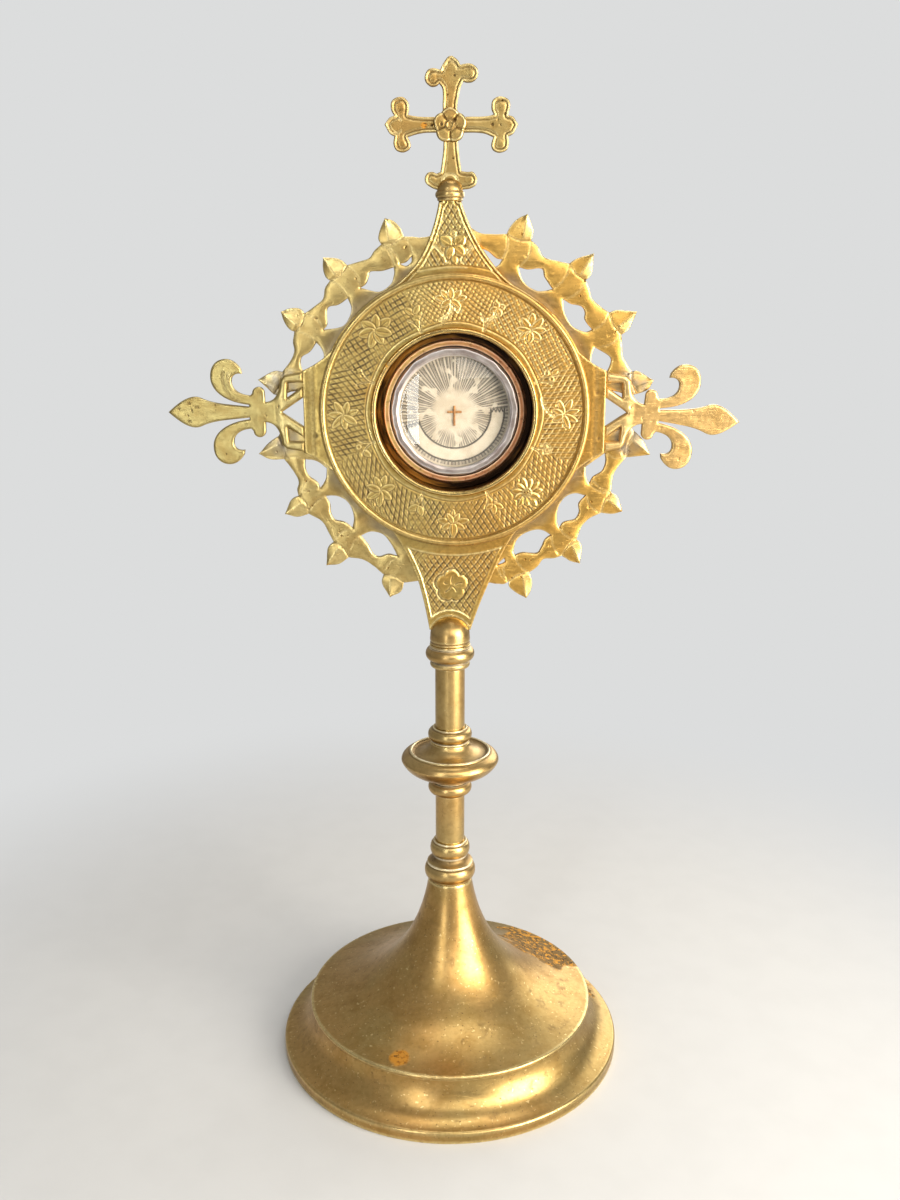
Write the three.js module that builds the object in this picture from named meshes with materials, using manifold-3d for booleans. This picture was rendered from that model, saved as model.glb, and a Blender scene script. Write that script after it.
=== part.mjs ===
// A brass altar reliquary, in millimetres, +Z up, its front facing -Y.
// The origin is the centre of the foot's underside, on the stem's axis.
import * as THREE from 'three';
import { mergeVertices } from 'three/addons/utils/BufferGeometryUtils.js';
import Module from 'manifold-3d';

const wasm = await Module();
wasm.setup();

// Fits
const seat = 0.15;            // gap between a piece and the slot or hole that it is soldered or pressed into
const running = 0.25;         // gap between the theca's carrier and the well that it turns in
const beyond = 2.0;           // how far a cutting tool runs past the solid that it cuts

// Foot and trumpet, spun from sheet
const sheet = 1.4;            // thickness of the spun sheet
const footRadius = 59.8;
const footRim = 3.6;          // height of the upright rim
const footShoulder = 48.9;    // radius where the hollow curve ends, under the round plate
const footHeight = 16.2;      // from the table to the underside of the round plate
const footLedge = 3.6;        // width of the flat ledge that the plate rests on
const plateRadius = 50.0;
const plateEdge = 1.2;        // height of the plate's bright edge
const trumpetRise = 45.0;     // from the plate's edge to the trumpet's top
const trumpetTop = 7.6;       // radius of the trumpet's top

// Stem, stacked from the trumpet upwards
const rodRadius = 2.0;
const rodFit = 0.2;
const tubeRadius = 5.0;
const collarHeight = 14.6;
const collarBead = 8.9;       // radius over the large bead
const collarTopBead = 6.9;
const lowerTubeLength = 17.6;
const knopRingHeight = 6.4;
const knopRingBead = 7.5;
const knopHeight = 12.5;
const knopRadius = 16.7;
const knopLine = 13.4;        // radius of the raised line on the knop's top
const topRingHeight = 5.5;
const upperTubeLength = 21.5;
const upperCollarHeight = 8.0;
const upperCollarBead = 8.2;
const domeRadius = 6.7;
const domeSkirt = 2.9;        // height of the small fillets under the dome
const domeFloor = 2.1;        // solid metal under the slot for the plate's tail
const pinRadius = 0.7;
const pinHeight = 4.0;        // the tail pin's height above the dome's base

// Clamp under the foot
const washerHeight = 2.5;
const washerDrop = 24.0;      // from the trumpet's top to the washer's top
const nutHeight = 3.2;
const nutRadius = 4.2;
const rodEnd = 3.0;           // rod that shows under the nut

// Head plate
const headRise = 76.9;        // from the dome's base to the centre of the ring
const headShift = 1.4;        // the ring stands this far right of the stem's axis
const shiftTaper = 18.0;      // height of panel over which the plate comes back to the axis
const plateThickness = 2.0;
const discRadius = 43.2;      // the plate's round middle
const wingReach = 47.9;       // from the axis to each wing's straight edge
const wingHalf = 13.0;
const wingRoot = 26;          // degrees up the disc where the wing's hollow starts
const panelRise = 63.7;       // from the ring's centre to the upper panel's top
const panelTop = 3.4;         // half width of the panel there
const panelRoot = 64.5;       // degrees up the disc where the upper panel starts
const tailRoot = 62.0;        // degrees down the disc where the lower panel starts
const tailDrop = 71.9;        // from the ring's centre to the tail's shoulders
const tongue = 2.6;           // half width of the tongue in the ball
const tongueLength = 2.0;

// Drum, ring and well
const drumRadius = 41.6;
const drumWall = 1.6;
const drumStep = 3.0;         // from the plate's face to the engraved ring's face
const ringThickness = 1.2;
const beadStand = 1.1;        // how far the rim's bead stands out past the drum
const beadLap = 1.0;          // how far the bead laps over the ring
const beadHeight = 1.0;
const bezelWidth = 1.7;
const bezelHeight = 1.4;
const wellRadius = 24.75;
const wellWall = 0.8;
const caseRadius = 30.6;
const caseDepth = 10.0;       // from the plate's back to the door
const caseWall = 1.1;

// Theca, in its carrier
const carrierNose = 22.6;
const carrierNoseLength = 2.2;
const carrierFlange = 2.5;
const thecaTurn = 5;          // degrees that it stands turned in its seat, right side up
const thecaRadius = 20.4;
const thecaWall = 1.1;
const thecaDepth = 7.4;       // from the carrier's front to the theca's lid
const lidThickness = 0.9;
const lidRadius = 22.2;
const sightRadius = 17.6;     // opening of the ring that holds the glass
const glassThickness = 1.0;
const glassRise = 1.9;        // how far the dome of the glass stands out
const stopThickness = 0.8;
const stopWidth = 1.6;
const ringWire = 1.2;
const sealRadius = 5.5;
const sealThickness = 0.9;

// Rear door and hinge
const doorThickness = 1.2;
const hingeOffset = 2.3;      // from the case's side to the hinge's axis
const knuckleRadius = 1.9;
const knuckleLength = 4.6;
const knuckleGap = 0.25;
const hingePinRadius = 0.9;
const hingeFit = 0.1;
const tabReach = 4.6;
const tabHalf = 3.5;

// Leaf sprays
const sprayThickness = 1.6;
const sprayInner = 41.5;
const sprayEnd = 56.5;         // height of the end that lies behind a panel
const sprayEndHalf = 7.5;      // how near that end comes to the middle
const sprayNeck = 55.0;       // outer radius between two buds
const sprayLobe = 58.2;       // outer radius beside a bud
const budTip = 64.2;
const firstBud = 10;          // degrees
const budPitch = 20;
const budCount = 4;
const windowRadius = 48.5;
const windowHalfLength = 6.2;
const windowHalfHeight = 3.5;
// The sprays are set by hand: how far each stands out, and how many degrees it is turned towards its panel
const upperRight = { x: 1, z: 1, out: 0.2, turn: -1.2, lastWindow: 73.6 };
const upperLeft = { x: -1, z: 1, out: -1.7, turn: -0.7, lastWindow: 73.6 };
const lowerRight = { x: 1, z: -1, out: 0.2, turn: 0.2, lastWindow: 70.5 };
const lowerLeft = { x: -1, z: -1, out: 0.4, turn: 1.0, lastWindow: 70.5 };

// Fleurs-de-lis: lengths along the piece are measured from the wing's edge
const fleurLength = 43.0;
const fleurDroop = 4.5;       // degrees: the right one is bent down
const bendStart = 4.0;        // where its bend starts

// Finial
const ballRadius = 4.5;
const ballHeight = 6.7;
const crossThickness = 1.6;
const crossRise = 21.5;       // from the ball's base to the crossing
const sideArm = 20.0;
const topArm = 19.4;
const footArm = 20.2;
const footCut = 18.4;         // where the foot arm ends, inside the ball
const crossWaist = 2.15;      // half width of an arm at the crossing
const lobeRadius = 2.5;
const bossRadius = 5.1;
const bossThickness = 0.9;

// Round steps
const footSteps = 36;
const ringSteps = 44;
const innerSteps = 28;
const stemSteps = 20;
const knopSteps = 24;
const pinSteps = 12;

// Heights that follow from the stack
const edgeTop = footHeight + plateEdge;
const trumpetZ = edgeTop + trumpetRise;
const lowerTubeZ = trumpetZ + collarHeight;
const knopRingZ = lowerTubeZ + lowerTubeLength;
const knopZ = knopRingZ + knopRingHeight;
const topRingZ = knopZ + knopHeight;
const upperTubeZ = topRingZ + topRingHeight;
const upperCollarZ = upperTubeZ + upperTubeLength;
const domeZ = upperCollarZ + upperCollarHeight;
const slotZ = domeZ + domeFloor;
const headZ = domeZ + headRise;
const ballZ = headZ + panelRise;
const rodHole = rodRadius + rodFit;

// Depths in the head: the plate is centred on the stem's axis
const plateFront = -plateThickness / 2;
const plateBack = plateThickness / 2;
const ringFace = plateFront - drumStep;
const ringBack = ringFace + ringThickness;
const caseBack = plateBack + caseDepth;
const doorBack = caseBack + seat + doorThickness;

const brass = { color: 0xb8923f, metalness: 0.9, roughness: 0.38 };
const castBrass = { color: 0xb08a45, metalness: 0.85, roughness: 0.5 };
const polished = { color: 0xc9a24e, metalness: 0.95, roughness: 0.2 };
const copper = { color: 0xb87b4f, metalness: 0.9, roughness: 0.35 };
const silvered = { color: 0xa9a3a0, metalness: 0.9, roughness: 0.3 };
const steel = { color: 0x77787a, metalness: 0.9, roughness: 0.5 };
const glass = { color: 0xe8f0f0, metalness: 0, roughness: 0.05, transparent: true, opacity: 0.3 };
const paper = { color: 0xd9cbb8, metalness: 0, roughness: 0.9 };
const wood = { color: 0x8a5a2b, metalness: 0, roughness: 0.7 };
const wax = { color: 0x7e1c16, metalness: 0, roughness: 0.5 };

// Points, as [across, along] pairs

function polar(radius, degrees) {
  const angle = THREE.MathUtils.degToRad(degrees);
  return [radius * Math.cos(angle), radius * Math.sin(angle)];
}

function arc(centre, radiusX, radiusY, from, to, steps) {
  const points = [];
  for (let i = 0; i <= steps; i++) {
    const [x, y] = polar(1, from + (to - from) * i / steps);
    points.push([centre[0] + radiusX * x, centre[1] + radiusY * y]);
  }
  return points;
}

// Cubic curve without its first point, so that it can follow another stretch
function curve(start, control1, control2, end, steps) {
  const bezier = new THREE.CubicBezierCurve(
    new THREE.Vector2(...start), new THREE.Vector2(...control1),
    new THREE.Vector2(...control2), new THREE.Vector2(...end));
  return bezier.getPoints(steps).slice(1).map((point) => [point.x, point.y]);
}

function mirrored(points) {
  return points.map(([x, y]) => [-x, y]).reverse();
}

// Half-round bead on a turned piece, from the lower height to the upper one
function bead(coreRadius, beadRadius, low, high, steps = 4) {
  return arc([coreRadius, (low + high) / 2], beadRadius - coreRadius, (high - low) / 2, -90, 90, steps);
}

// Solids

function signedVolume(positions, triangles) {
  const a = new THREE.Vector3();
  const b = new THREE.Vector3();
  const c = new THREE.Vector3();
  let total = 0;
  for (let i = 0; i < triangles.length; i += 3) {
    a.fromArray(positions, triangles[i] * 3);
    b.fromArray(positions, triangles[i + 1] * 3);
    c.fromArray(positions, triangles[i + 2] * 3);
    total += a.dot(b.cross(c)) / 6;
  }
  return total;
}

function solidOf(geometry) {
  const bare = geometry.clone();
  bare.deleteAttribute('normal');
  bare.deleteAttribute('uv');
  const merged = mergeVertices(bare);
  const positions = merged.attributes.position.array;
  const index = merged.index.array;
  const triangles = [];
  for (let i = 0; i < index.length; i += 3) {
    const [a, b, c] = [index[i], index[i + 1], index[i + 2]];
    if (a !== b && b !== c && c !== a) triangles.push(a, b, c);
  }
  if (signedVolume(positions, triangles) < 0) triangles.reverse();
  return new wasm.Manifold(new wasm.Mesh({
    numProp: 3,
    vertProperties: Float32Array.from(positions),
    triVerts: Uint32Array.from(triangles),
  }));
}

// A closed profile of [radius, height] points, turned about Z
function turned(profile, steps = stemSteps) {
  const points = [...profile, profile[0]].map(([r, z]) => new THREE.Vector2(r, z));
  return solidOf(new THREE.LatheGeometry(points, steps).rotateX(Math.PI / 2));
}

// The same about Y, for the round pieces of the head: [radius, depth] points
function turnedAboutY(profile, steps = ringSteps) {
  const points = [...profile, profile[0]].map(([r, y]) => new THREE.Vector2(r, y));
  return solidOf(new THREE.LatheGeometry(points, steps));
}

function ringAboutY(inner, outer, front, back, steps = ringSteps) {
  return turnedAboutY([[inner, front], [outer, front], [outer, back], [inner, back]], steps);
}

function discAboutY(radius, front, back, steps = innerSteps) {
  return ringAboutY(0, radius, front, back, steps);
}

// A flat outline in the head's plane, cut from sheet between two depths
function cutFromSheet(outline, front, back, holes = []) {
  const points = outline.map(([x, z]) => new THREE.Vector2(x, z));
  if (THREE.ShapeUtils.isClockWise(points)) points.reverse();
  const shape = new THREE.Shape(points);
  for (const hole of holes) {
    shape.holes.push(new THREE.Path(hole.map(([x, z]) => new THREE.Vector2(x, z))));
  }
  const geometry = new THREE.ExtrudeGeometry(shape, { depth: back - front, bevelEnabled: false });
  return solidOf(geometry.rotateX(Math.PI / 2).translate(0, back, 0));
}

function block(lowX, highX, lowY, highY, lowZ, highZ) {
  const box = new THREE.BoxGeometry(highX - lowX, highY - lowY, highZ - lowZ);
  return solidOf(box.translate((lowX + highX) / 2, (lowY + highY) / 2, (lowZ + highZ) / 2));
}

function pinAlongZ(radius, low, high, x = 0, y = 0, steps = pinSteps) {
  const cylinder = new THREE.CylinderGeometry(radius, radius, high - low, steps);
  return solidOf(cylinder.rotateX(Math.PI / 2).translate(x, y, (low + high) / 2));
}

function pinAlongY(radius, front, back, z) {
  const cylinder = new THREE.CylinderGeometry(radius, radius, back - front, pinSteps);
  return solidOf(cylinder.translate(0, (front + back) / 2, z));
}

function node(name, solid, look) {
  const mesh = solid.getMesh();
  const geometry = new THREE.BufferGeometry();
  geometry.setAttribute('position', new THREE.BufferAttribute(Float32Array.from(mesh.vertProperties), 3));
  geometry.setIndex(Array.from(mesh.triVerts));
  geometry.computeVertexNormals();
  const result = new THREE.Mesh(geometry, new THREE.MeshStandardMaterial(look));
  result.name = name;
  return result;
}

// Foot and trumpet

function footRing() {
  const rimTop = footRim + 0.6;
  const cove = curve([footRadius - 1.2, rimTop], [footRadius - 6.3, rimTop + 1.1],
    [footShoulder + 0.9, rimTop + 4.3], [footShoulder, footHeight - 1.2], 6);
  const inside = curve([footShoulder - sheet, footHeight - sheet - 1.0], [footShoulder - 0.6, rimTop + 3.4],
    [footRadius - 7.0, rimTop - 0.3], [footRadius - sheet - 1.0, footRim - sheet], 4);
  return turned([
    [footRadius - 2.2, 0], [footRadius, 0], [footRadius, footRim], [footRadius - 0.5, rimTop - 0.1],
    [footRadius - 1.2, rimTop], ...cove, [footShoulder, footHeight],
    [footShoulder - footLedge, footHeight], [footShoulder - footLedge, footHeight - sheet],
    [footShoulder - sheet, footHeight - sheet], [footShoulder - sheet, footHeight - sheet - 1.0],
    ...inside,
  ], footSteps);
}

// The trumpet's outline from its top to the plate's edge, moved in by a wall's thickness where asked
function trumpetCurve(inset, steps) {
  const points = [];
  const outline = new THREE.CubicBezierCurve(
    new THREE.Vector2(trumpetTop, trumpetZ),
    new THREE.Vector2(trumpetTop + 2.7, trumpetZ - 17.3),
    new THREE.Vector2(trumpetTop + 11.4, edgeTop + 4.7),
    new THREE.Vector2(plateRadius, edgeTop));
  for (let i = 0; i <= steps; i++) {
    const point = outline.getPoint(i / steps);
    const along = outline.getTangent(i / steps);
    points.push([point.x + inset * along.y, point.y - inset * along.x]);
  }
  return points;
}

function bellFoot() {
  const outside = trumpetCurve(0, 12);
  const inside = trumpetCurve(sheet, 9).slice(1, -1).reverse();
  return turned([
    ...outside, [plateRadius + 0.25, edgeTop - plateEdge / 2], [plateRadius, footHeight],
    [footShoulder - footLedge, footHeight],
    ...inside.filter(([radius]) => radius < footShoulder - footLedge),
    [trumpetTop - sheet, trumpetZ - sheet], [rodHole, trumpetZ - sheet], [rodHole, trumpetZ],
  ], footSteps);
}

// Radius inside the trumpet at a height
function trumpetInside(height) {
  const points = trumpetCurve(sheet, 60);
  const lower = points.findIndex(([, z]) => z < height);
  const [r0, z0] = points[lower - 1];
  const [r1, z1] = points[lower];
  return r0 + (r1 - r0) * (z0 - height) / (z0 - z1);
}

const washerTop = trumpetZ - washerDrop;
const nutTop = washerTop - washerHeight;

function clampWasher() {
  const radius = trumpetInside(washerTop) - 2 * seat;
  return turned([[rodHole, nutTop], [radius + washerHeight / 4, nutTop], [radius, washerTop],
    [rodHole, washerTop]], innerSteps);
}

function tieRodNut() {
  const hexagon = new THREE.CylinderGeometry(nutRadius, nutRadius, nutHeight, 6);
  const body = solidOf(hexagon.rotateX(Math.PI / 2).translate(0, 0, nutTop - nutHeight / 2));
  return body.subtract(pinAlongZ(rodHole, nutTop - nutHeight - beyond, nutTop + beyond));
}

function tieRod() {
  return pinAlongZ(rodRadius, nutTop - nutHeight - rodEnd, slotZ - 3 * rodFit);
}

// Stem

function lowerCollar() {
  const beadLow = trumpetZ + 0.6;
  const beadHigh = trumpetZ + 5.9;
  const coveTop = trumpetZ + 8.9;
  return turned([
    [rodHole, trumpetZ], [trumpetTop - 0.2, trumpetZ],
    ...bead(trumpetTop - 0.3, collarBead, beadLow, beadHigh, 5),
    [collarBead - 0.9, beadHigh], [collarBead - 0.9, beadHigh + 0.7],
    ...curve([collarBead - 1.1, beadHigh + 0.9], [collarBead - 2.2, beadHigh + 1.4],
      [tubeRadius + 0.9, coveTop - 1.2], [tubeRadius + 0.9, coveTop], 3),
    ...bead(tubeRadius + 0.9, collarTopBead, coveTop + 0.5, lowerTubeZ - 0.7, 5),
    [tubeRadius + 0.8, lowerTubeZ], [rodHole, lowerTubeZ],
  ]);
}

function plainTube(low, high) {
  return turned([[rodHole, low], [tubeRadius, low], [tubeRadius, high], [rodHole, high]]);
}

function knopLowerRing() {
  const neck = tubeRadius + 1.2;
  return turned([
    [rodHole, knopRingZ], [tubeRadius + 0.7, knopRingZ],
    ...bead(tubeRadius + 0.8, knopRingBead, knopRingZ + 0.4, knopRingZ + 4.6, 5),
    [neck, knopRingZ + 4.8], [neck + 0.6, knopZ], [rodHole, knopZ],
  ]);
}

function knopDisc() {
  const rimHeight = knopZ + 6.2;
  return turned([
    [rodHole, knopZ], [tubeRadius + 1.8, knopZ],
    ...curve([tubeRadius + 1.8, knopZ], [knopRadius - 5.0, knopZ + 1.0], [knopRadius - 1.6, knopZ + 2.6],
      [knopRadius, rimHeight], 4),
    ...curve([knopRadius, rimHeight], [knopRadius, rimHeight + 1.6], [knopLine + 1.6, rimHeight + 2.7],
      [knopLine, rimHeight + 3.0], 3),
    [knopLine - 0.5, rimHeight + 2.7],
    ...curve([knopLine - 0.5, rimHeight + 2.7], [knopLine - 4.0, rimHeight + 2.9],
      [tubeRadius + 2.0, rimHeight + 4.4], [tubeRadius + 1.6, topRingZ], 4),
    [rodHole, topRingZ],
  ], knopSteps);
}

function knopUpperRing() {
  return turned([
    [rodHole, topRingZ], [tubeRadius + 1.5, topRingZ], [tubeRadius + 1.5, topRingZ + 0.7],
    ...bead(tubeRadius + 1.0, knopRingBead, topRingZ + 0.9, upperTubeZ - 0.6, 5),
    [tubeRadius + 0.9, upperTubeZ], [rodHole, upperTubeZ],
  ]);
}

function upperCollar() {
  return turned([
    [rodHole, upperCollarZ], [tubeRadius + 0.9, upperCollarZ],
    ...bead(tubeRadius + 0.9, domeRadius, upperCollarZ + 0.1, upperCollarZ + 2.2, 3),
    ...bead(tubeRadius + 1.2, upperCollarBead, upperCollarZ + 2.5, upperCollarZ + 7.0, 5),
    [domeRadius + 0.1, upperCollarZ + 7.1], [domeRadius + 0.1, domeZ], [rodHole, domeZ],
  ]);
}

// The dome, slotted from above for the plate's tail and drilled for its pin
function domeSocket() {
  const skirt = domeZ + domeSkirt;
  const body = turned([
    [0, domeZ], [domeRadius - 0.3, domeZ], [domeRadius, domeZ + 0.5], [domeRadius - 0.3, domeZ + 1.0],
    [domeRadius, domeZ + 1.4], ...arc([0, skirt], domeRadius, domeRadius, 0, 90, 7),
  ]);
  const slotHalf = plateThickness / 2 + seat;
  const slot = block(-domeRadius - beyond, domeRadius + beyond, -slotHalf, slotHalf,
    slotZ, domeZ + domeSkirt + domeRadius + beyond);
  const bore = pinAlongZ(rodHole, domeZ - beyond, slotZ - 2 * rodFit);
  const pinHole = pinAlongY(pinRadius + seat, -domeRadius - beyond, domeRadius + beyond, domeZ + pinHeight);
  return body.subtract(slot).subtract(bore).subtract(pinHole);
}

function tailPin() {
  return pinAlongY(pinRadius, -domeRadius + 0.4, domeRadius - 0.4, domeZ + pinHeight);
}

// Head plate: the points below are measured from the centre of the ring

function plateOutline() {
  const tailEnd = slotZ + seat - headZ;
  const half = [
    [domeRadius - 1.1, tailEnd], [domeRadius - 1.1, -tailDrop], [domeRadius + 0.1, -tailDrop],
    ...curve([domeRadius + 0.1, -tailDrop], [domeRadius + 3.0, -tailDrop + 11.9],
      [domeRadius + 7.0, -discRadius - 4.3], polar(discRadius, -tailRoot), 8),
    ...arc([0, 0], discRadius, discRadius, -tailRoot, -wingRoot, 8).slice(1),
    ...curve(polar(discRadius, -wingRoot), [wingReach - 6.5, -wingHalf - 3.4],
      [wingReach - 3.0, -wingHalf - 1.2], [wingReach, -wingHalf], 4),
    [wingReach, wingHalf],
    ...curve([wingReach, wingHalf], [wingReach - 3.0, wingHalf + 1.2],
      [wingReach - 6.5, wingHalf + 3.4], polar(discRadius, wingRoot), 4),
    ...arc([0, 0], discRadius, discRadius, wingRoot, panelRoot, 8).slice(1),
    ...curve(polar(discRadius, panelRoot), [panelTop + 7.4, discRadius + 1.0],
      [panelTop + 2.4, panelRise - 9.7], [panelTop, panelRise], 8),
    [tongue, panelRise], [tongue, panelRise + tongueLength],
  ];
  // The group stands off the axis, so the tail and the panel's top are drawn back to it
  const shift = ([x, z]) => {
    const end = z < 0 ? tailDrop : panelRise;
    return [x - headShift * Math.min(1, Math.max(0, 1 - (end - Math.abs(z)) / shiftTaper)), z];
  };
  return [...half, ...mirrored(half)].map(shift);
}

function headPlate() {
  const opening = arc([0, 0], wellRadius + wellWall + 2 * seat, wellRadius + wellWall + 2 * seat,
    0, 360, innerSteps).slice(1);
  const plate = cutFromSheet(plateOutline(), plateFront, plateBack, [opening]);
  const pinZ = domeZ + pinHeight - headZ;
  const pinHole = pinAlongY(pinRadius + seat, plateFront - beyond, plateBack + beyond, pinZ);
  return plate.subtract(pinHole.translate(-headShift, 0, 0));
}

// Drum, ring, bezel and well

function drumWallRing() {
  return ringAboutY(drumRadius - drumWall, drumRadius, ringBack, plateFront, innerSteps);
}

function faceRing() {
  return ringAboutY(wellRadius + wellWall + seat, drumRadius, ringFace, ringBack);
}

function beadRim() {
  const beadOuter = drumRadius + beadStand;
  const beadInner = drumRadius - beadLap;
  const lip = ringFace - 0.05;
  return turnedAboutY([
    [drumRadius + seat, plateFront], [drumRadius + seat, lip], [beadInner, lip],
    ...arc([(beadInner + beadOuter) / 2, lip], (beadOuter - beadInner) / 2, beadHeight, 180, 360, 4),
    [beadOuter, plateFront],
  ]);
}

function bezelRing() {
  return turnedAboutY([
    [wellRadius, ringFace], [wellRadius, ringFace - bezelHeight + 0.4],
    [wellRadius + 0.4, ringFace - bezelHeight], [wellRadius + bezelWidth - 0.5, ringFace - bezelHeight],
    [wellRadius + bezelWidth, ringFace - bezelHeight / 2], [wellRadius + bezelWidth, ringFace],
  ]);
}

function wellTube() {
  return ringAboutY(wellRadius, wellRadius + wellWall, ringFace, caseBack);
}

function rearCase() {
  const floor = caseBack - caseWall;
  return turnedAboutY([
    [caseRadius, plateBack], [caseRadius, caseBack], [wellRadius + wellWall + seat, caseBack],
    [wellRadius + wellWall + seat, floor], [caseRadius - caseWall, floor], [caseRadius - caseWall, plateBack],
  ]);
}

// The theca's carrier fills the well behind a ring that stops it

const stopFront = carrierNoseLength - running - stopThickness;

function stopRing() {
  const stopBack = stopFront + stopThickness;
  return ringAboutY(wellRadius - stopWidth, wellRadius - seat, stopFront, stopBack, innerSteps);
}

function thecaCarrier() {
  const flangeBack = carrierNoseLength + carrierFlange;
  const bore = thecaRadius + 2 * seat;
  return turnedAboutY([
    [bore, 0], [carrierNose - 0.4, 0], [carrierNose, 0.4], [carrierNose, carrierNoseLength],
    [wellRadius - running, carrierNoseLength], [wellRadius - running, flangeBack],
    [carrierNose, flangeBack], [carrierNose, thecaDepth - seat], [bore, thecaDepth - seat],
  ], innerSteps);
}

const glassBack = 1.2;
const glassFront = glassBack - glassThickness;
const cardFront = 3.1;
const cardThickness = 0.4;
const glassSeat = thecaRadius - thecaWall;

function thecaCase() {
  return turnedAboutY([
    [thecaRadius, glassBack], [thecaRadius, thecaDepth], [glassSeat, thecaDepth],
    [glassSeat, cardFront - 0.1],
    [sightRadius + 0.3, cardFront - 0.1], [sightRadius + 0.3, glassBack],
  ], innerSteps);
}

function thecaBezel() {
  const rim = glassBack - 0.05;
  const lip = glassFront - 0.05;
  return turnedAboutY([
    [thecaRadius, rim], [glassSeat + 0.1, rim], [glassSeat + 0.1, lip], [sightRadius, lip],
    [sightRadius, lip - 0.6], [sightRadius + 0.8, lip - 1.0], [thecaRadius - 0.6, lip - 1.0],
    [thecaRadius, lip],
  ], innerSteps);
}

// Domed glass with a flat edge under the ring
function thecaGlass() {
  const edge = sightRadius - 0.2;
  const steps = 4;
  const dome = [];
  for (let i = 0; i <= steps; i++) {
    const radius = edge * i / steps;
    dome.push([radius, glassFront - glassRise * (1 - (radius / edge) ** 2)]);
  }
  return turnedAboutY([...dome, [glassSeat - 0.1, glassFront], [glassSeat - 0.1, glassBack - 0.02],
    [0, glassBack - 0.02]], innerSteps);
}

function paperCard() {
  return discAboutY(glassSeat - 0.1, cardFront, cardFront + cardThickness);
}

// Crescent banner with toothed ends, pasted on the lower half of the card
function paperBanner() {
  const outer = 15.6;
  const inner = 11.6;
  const start = -174;
  const end = -6;
  const teeth = 4;
  const outline = arc([0, 0], outer, outer, start, end, 16);
  for (let i = 1; i < 2 * teeth; i++) {
    outline.push(polar(outer + (inner - outer) * i / (2 * teeth), end + (i % 2) * -5));
  }
  outline.push(...arc([0, 0], inner, inner, end, start, 14));
  for (let i = 1; i < 2 * teeth; i++) {
    outline.push(polar(inner + (outer - inner) * i / (2 * teeth), start + (i % 2) * 5));
  }
  return cutFromSheet(outline, cardFront - 0.2, cardFront);
}

function relicCross() {
  const half = 0.35;
  const front = cardFront - half;
  const post = block(-half, half, front, cardFront, -4.4, 1.8);
  const bar = block(-2.3, 2.3, front, cardFront, -0.5, -0.5 + 2 * half);
  return post.add(bar).rotate(0, thecaTurn, 0);
}

function backingPad() {
  return discAboutY(glassSeat - 0.4, cardFront + cardThickness, thecaDepth - 1.1);
}

function thecaLid() {
  return turnedAboutY([
    [0, thecaDepth - 1.0], [glassSeat - 0.2, thecaDepth - 1.0], [glassSeat - 0.2, thecaDepth],
    [lidRadius, thecaDepth], [lidRadius, thecaDepth + lidThickness], [0, thecaDepth + lidThickness],
  ], innerSteps);
}

function waxSeal() {
  const front = thecaDepth + lidThickness;
  return turnedAboutY([[0, front], [sealRadius, front], [sealRadius - 0.5, front + sealThickness],
    [0, front + sealThickness]], stemSteps);
}

// Open spring ring behind the carrier's flange
function retainingRing() {
  const front = carrierNoseLength + carrierFlange + running;
  const gap = 25;
  const outer = wellRadius - seat;
  const inner = outer - ringWire;
  const outline = [...arc([0, 0], outer, outer, 90 + gap, 450 - gap, 32),
    ...arc([0, 0], inner, inner, 450 - gap, 90 + gap, 32)];
  return cutFromSheet(outline, front, front + ringWire);
}

// Rear door with its knuckle, and the hinge leaf on the case

const hingeX = -caseRadius - hingeOffset;
const hingeY = caseBack + seat + doorThickness / 2;
const knuckleBore = hingePinRadius + hingeFit;
const hingeHalf = 1.5 * knuckleLength + knuckleGap;

function knuckle(low, high) {
  return pinAlongZ(knuckleRadius, low, high, hingeX, hingeY, 16);
}

function hingeBore() {
  return pinAlongZ(knuckleBore, -hingeHalf - beyond, hingeHalf + beyond, hingeX, hingeY, 16);
}

function rearDoor() {
  const front = caseBack + seat;
  const disc = turnedAboutY([
    [0, front], [caseRadius - 0.2, front], [caseRadius - 0.2, doorBack - 0.3], [caseRadius - 0.6, doorBack],
    [caseRadius - 2.2, doorBack], [caseRadius - 3.2, doorBack - 0.4], [0, doorBack - 0.4],
  ], innerSteps);
  const half = knuckleLength / 2;
  const strap = block(hingeX, hingeX + 8, front, doorBack - 0.4, -half, half);
  return disc.add(strap).add(knuckle(-half, half)).subtract(hingeBore());
}

function caseHinge() {
  const start = knuckleLength / 2 + knuckleGap;
  const leaf = block(hingeX - 0.9, -caseRadius + 1.5, plateBack + 3.0, caseBack - 1.0, -hingeHalf, hingeHalf);
  const legs = block(hingeX - 0.9, hingeX + 0.9, plateBack + 4.0, hingeY, -hingeHalf, hingeHalf);
  const doorSpace = block(hingeX - knuckleRadius - 1, hingeX + 8, caseBack - 1.5, doorBack + beyond,
    -start, start);
  const caseSpace = turnedAboutY([[0, -beyond], [caseRadius + 0.1, -beyond],
    [caseRadius + 0.1, doorBack + beyond], [0, doorBack + beyond]]);
  return leaf.add(legs).add(knuckle(start, hingeHalf)).add(knuckle(-hingeHalf, -start))
    .subtract(doorSpace).subtract(caseSpace).subtract(hingeBore());
}

function hingePin() {
  const head = pinAlongZ(hingePinRadius + 0.5, hingeHalf + seat, hingeHalf + 1.0, hingeX, hingeY);
  return pinAlongZ(hingePinRadius, -hingeHalf - 0.4, hingeHalf + 0.5, hingeX, hingeY, 16).add(head);
}

// Dished spring on the door: its free edge presses towards the lid
function doorSpring() {
  const root = caseBack;
  const free = thecaDepth + lidThickness + 2 * seat;
  return turnedAboutY([
    [8, root + seat], [11, root + seat], [17.5, free + 0.6], [17.5, free], [16.5, free], [10.5, root - 0.6],
    [8, root - 0.6],
  ], innerSteps);
}

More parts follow.
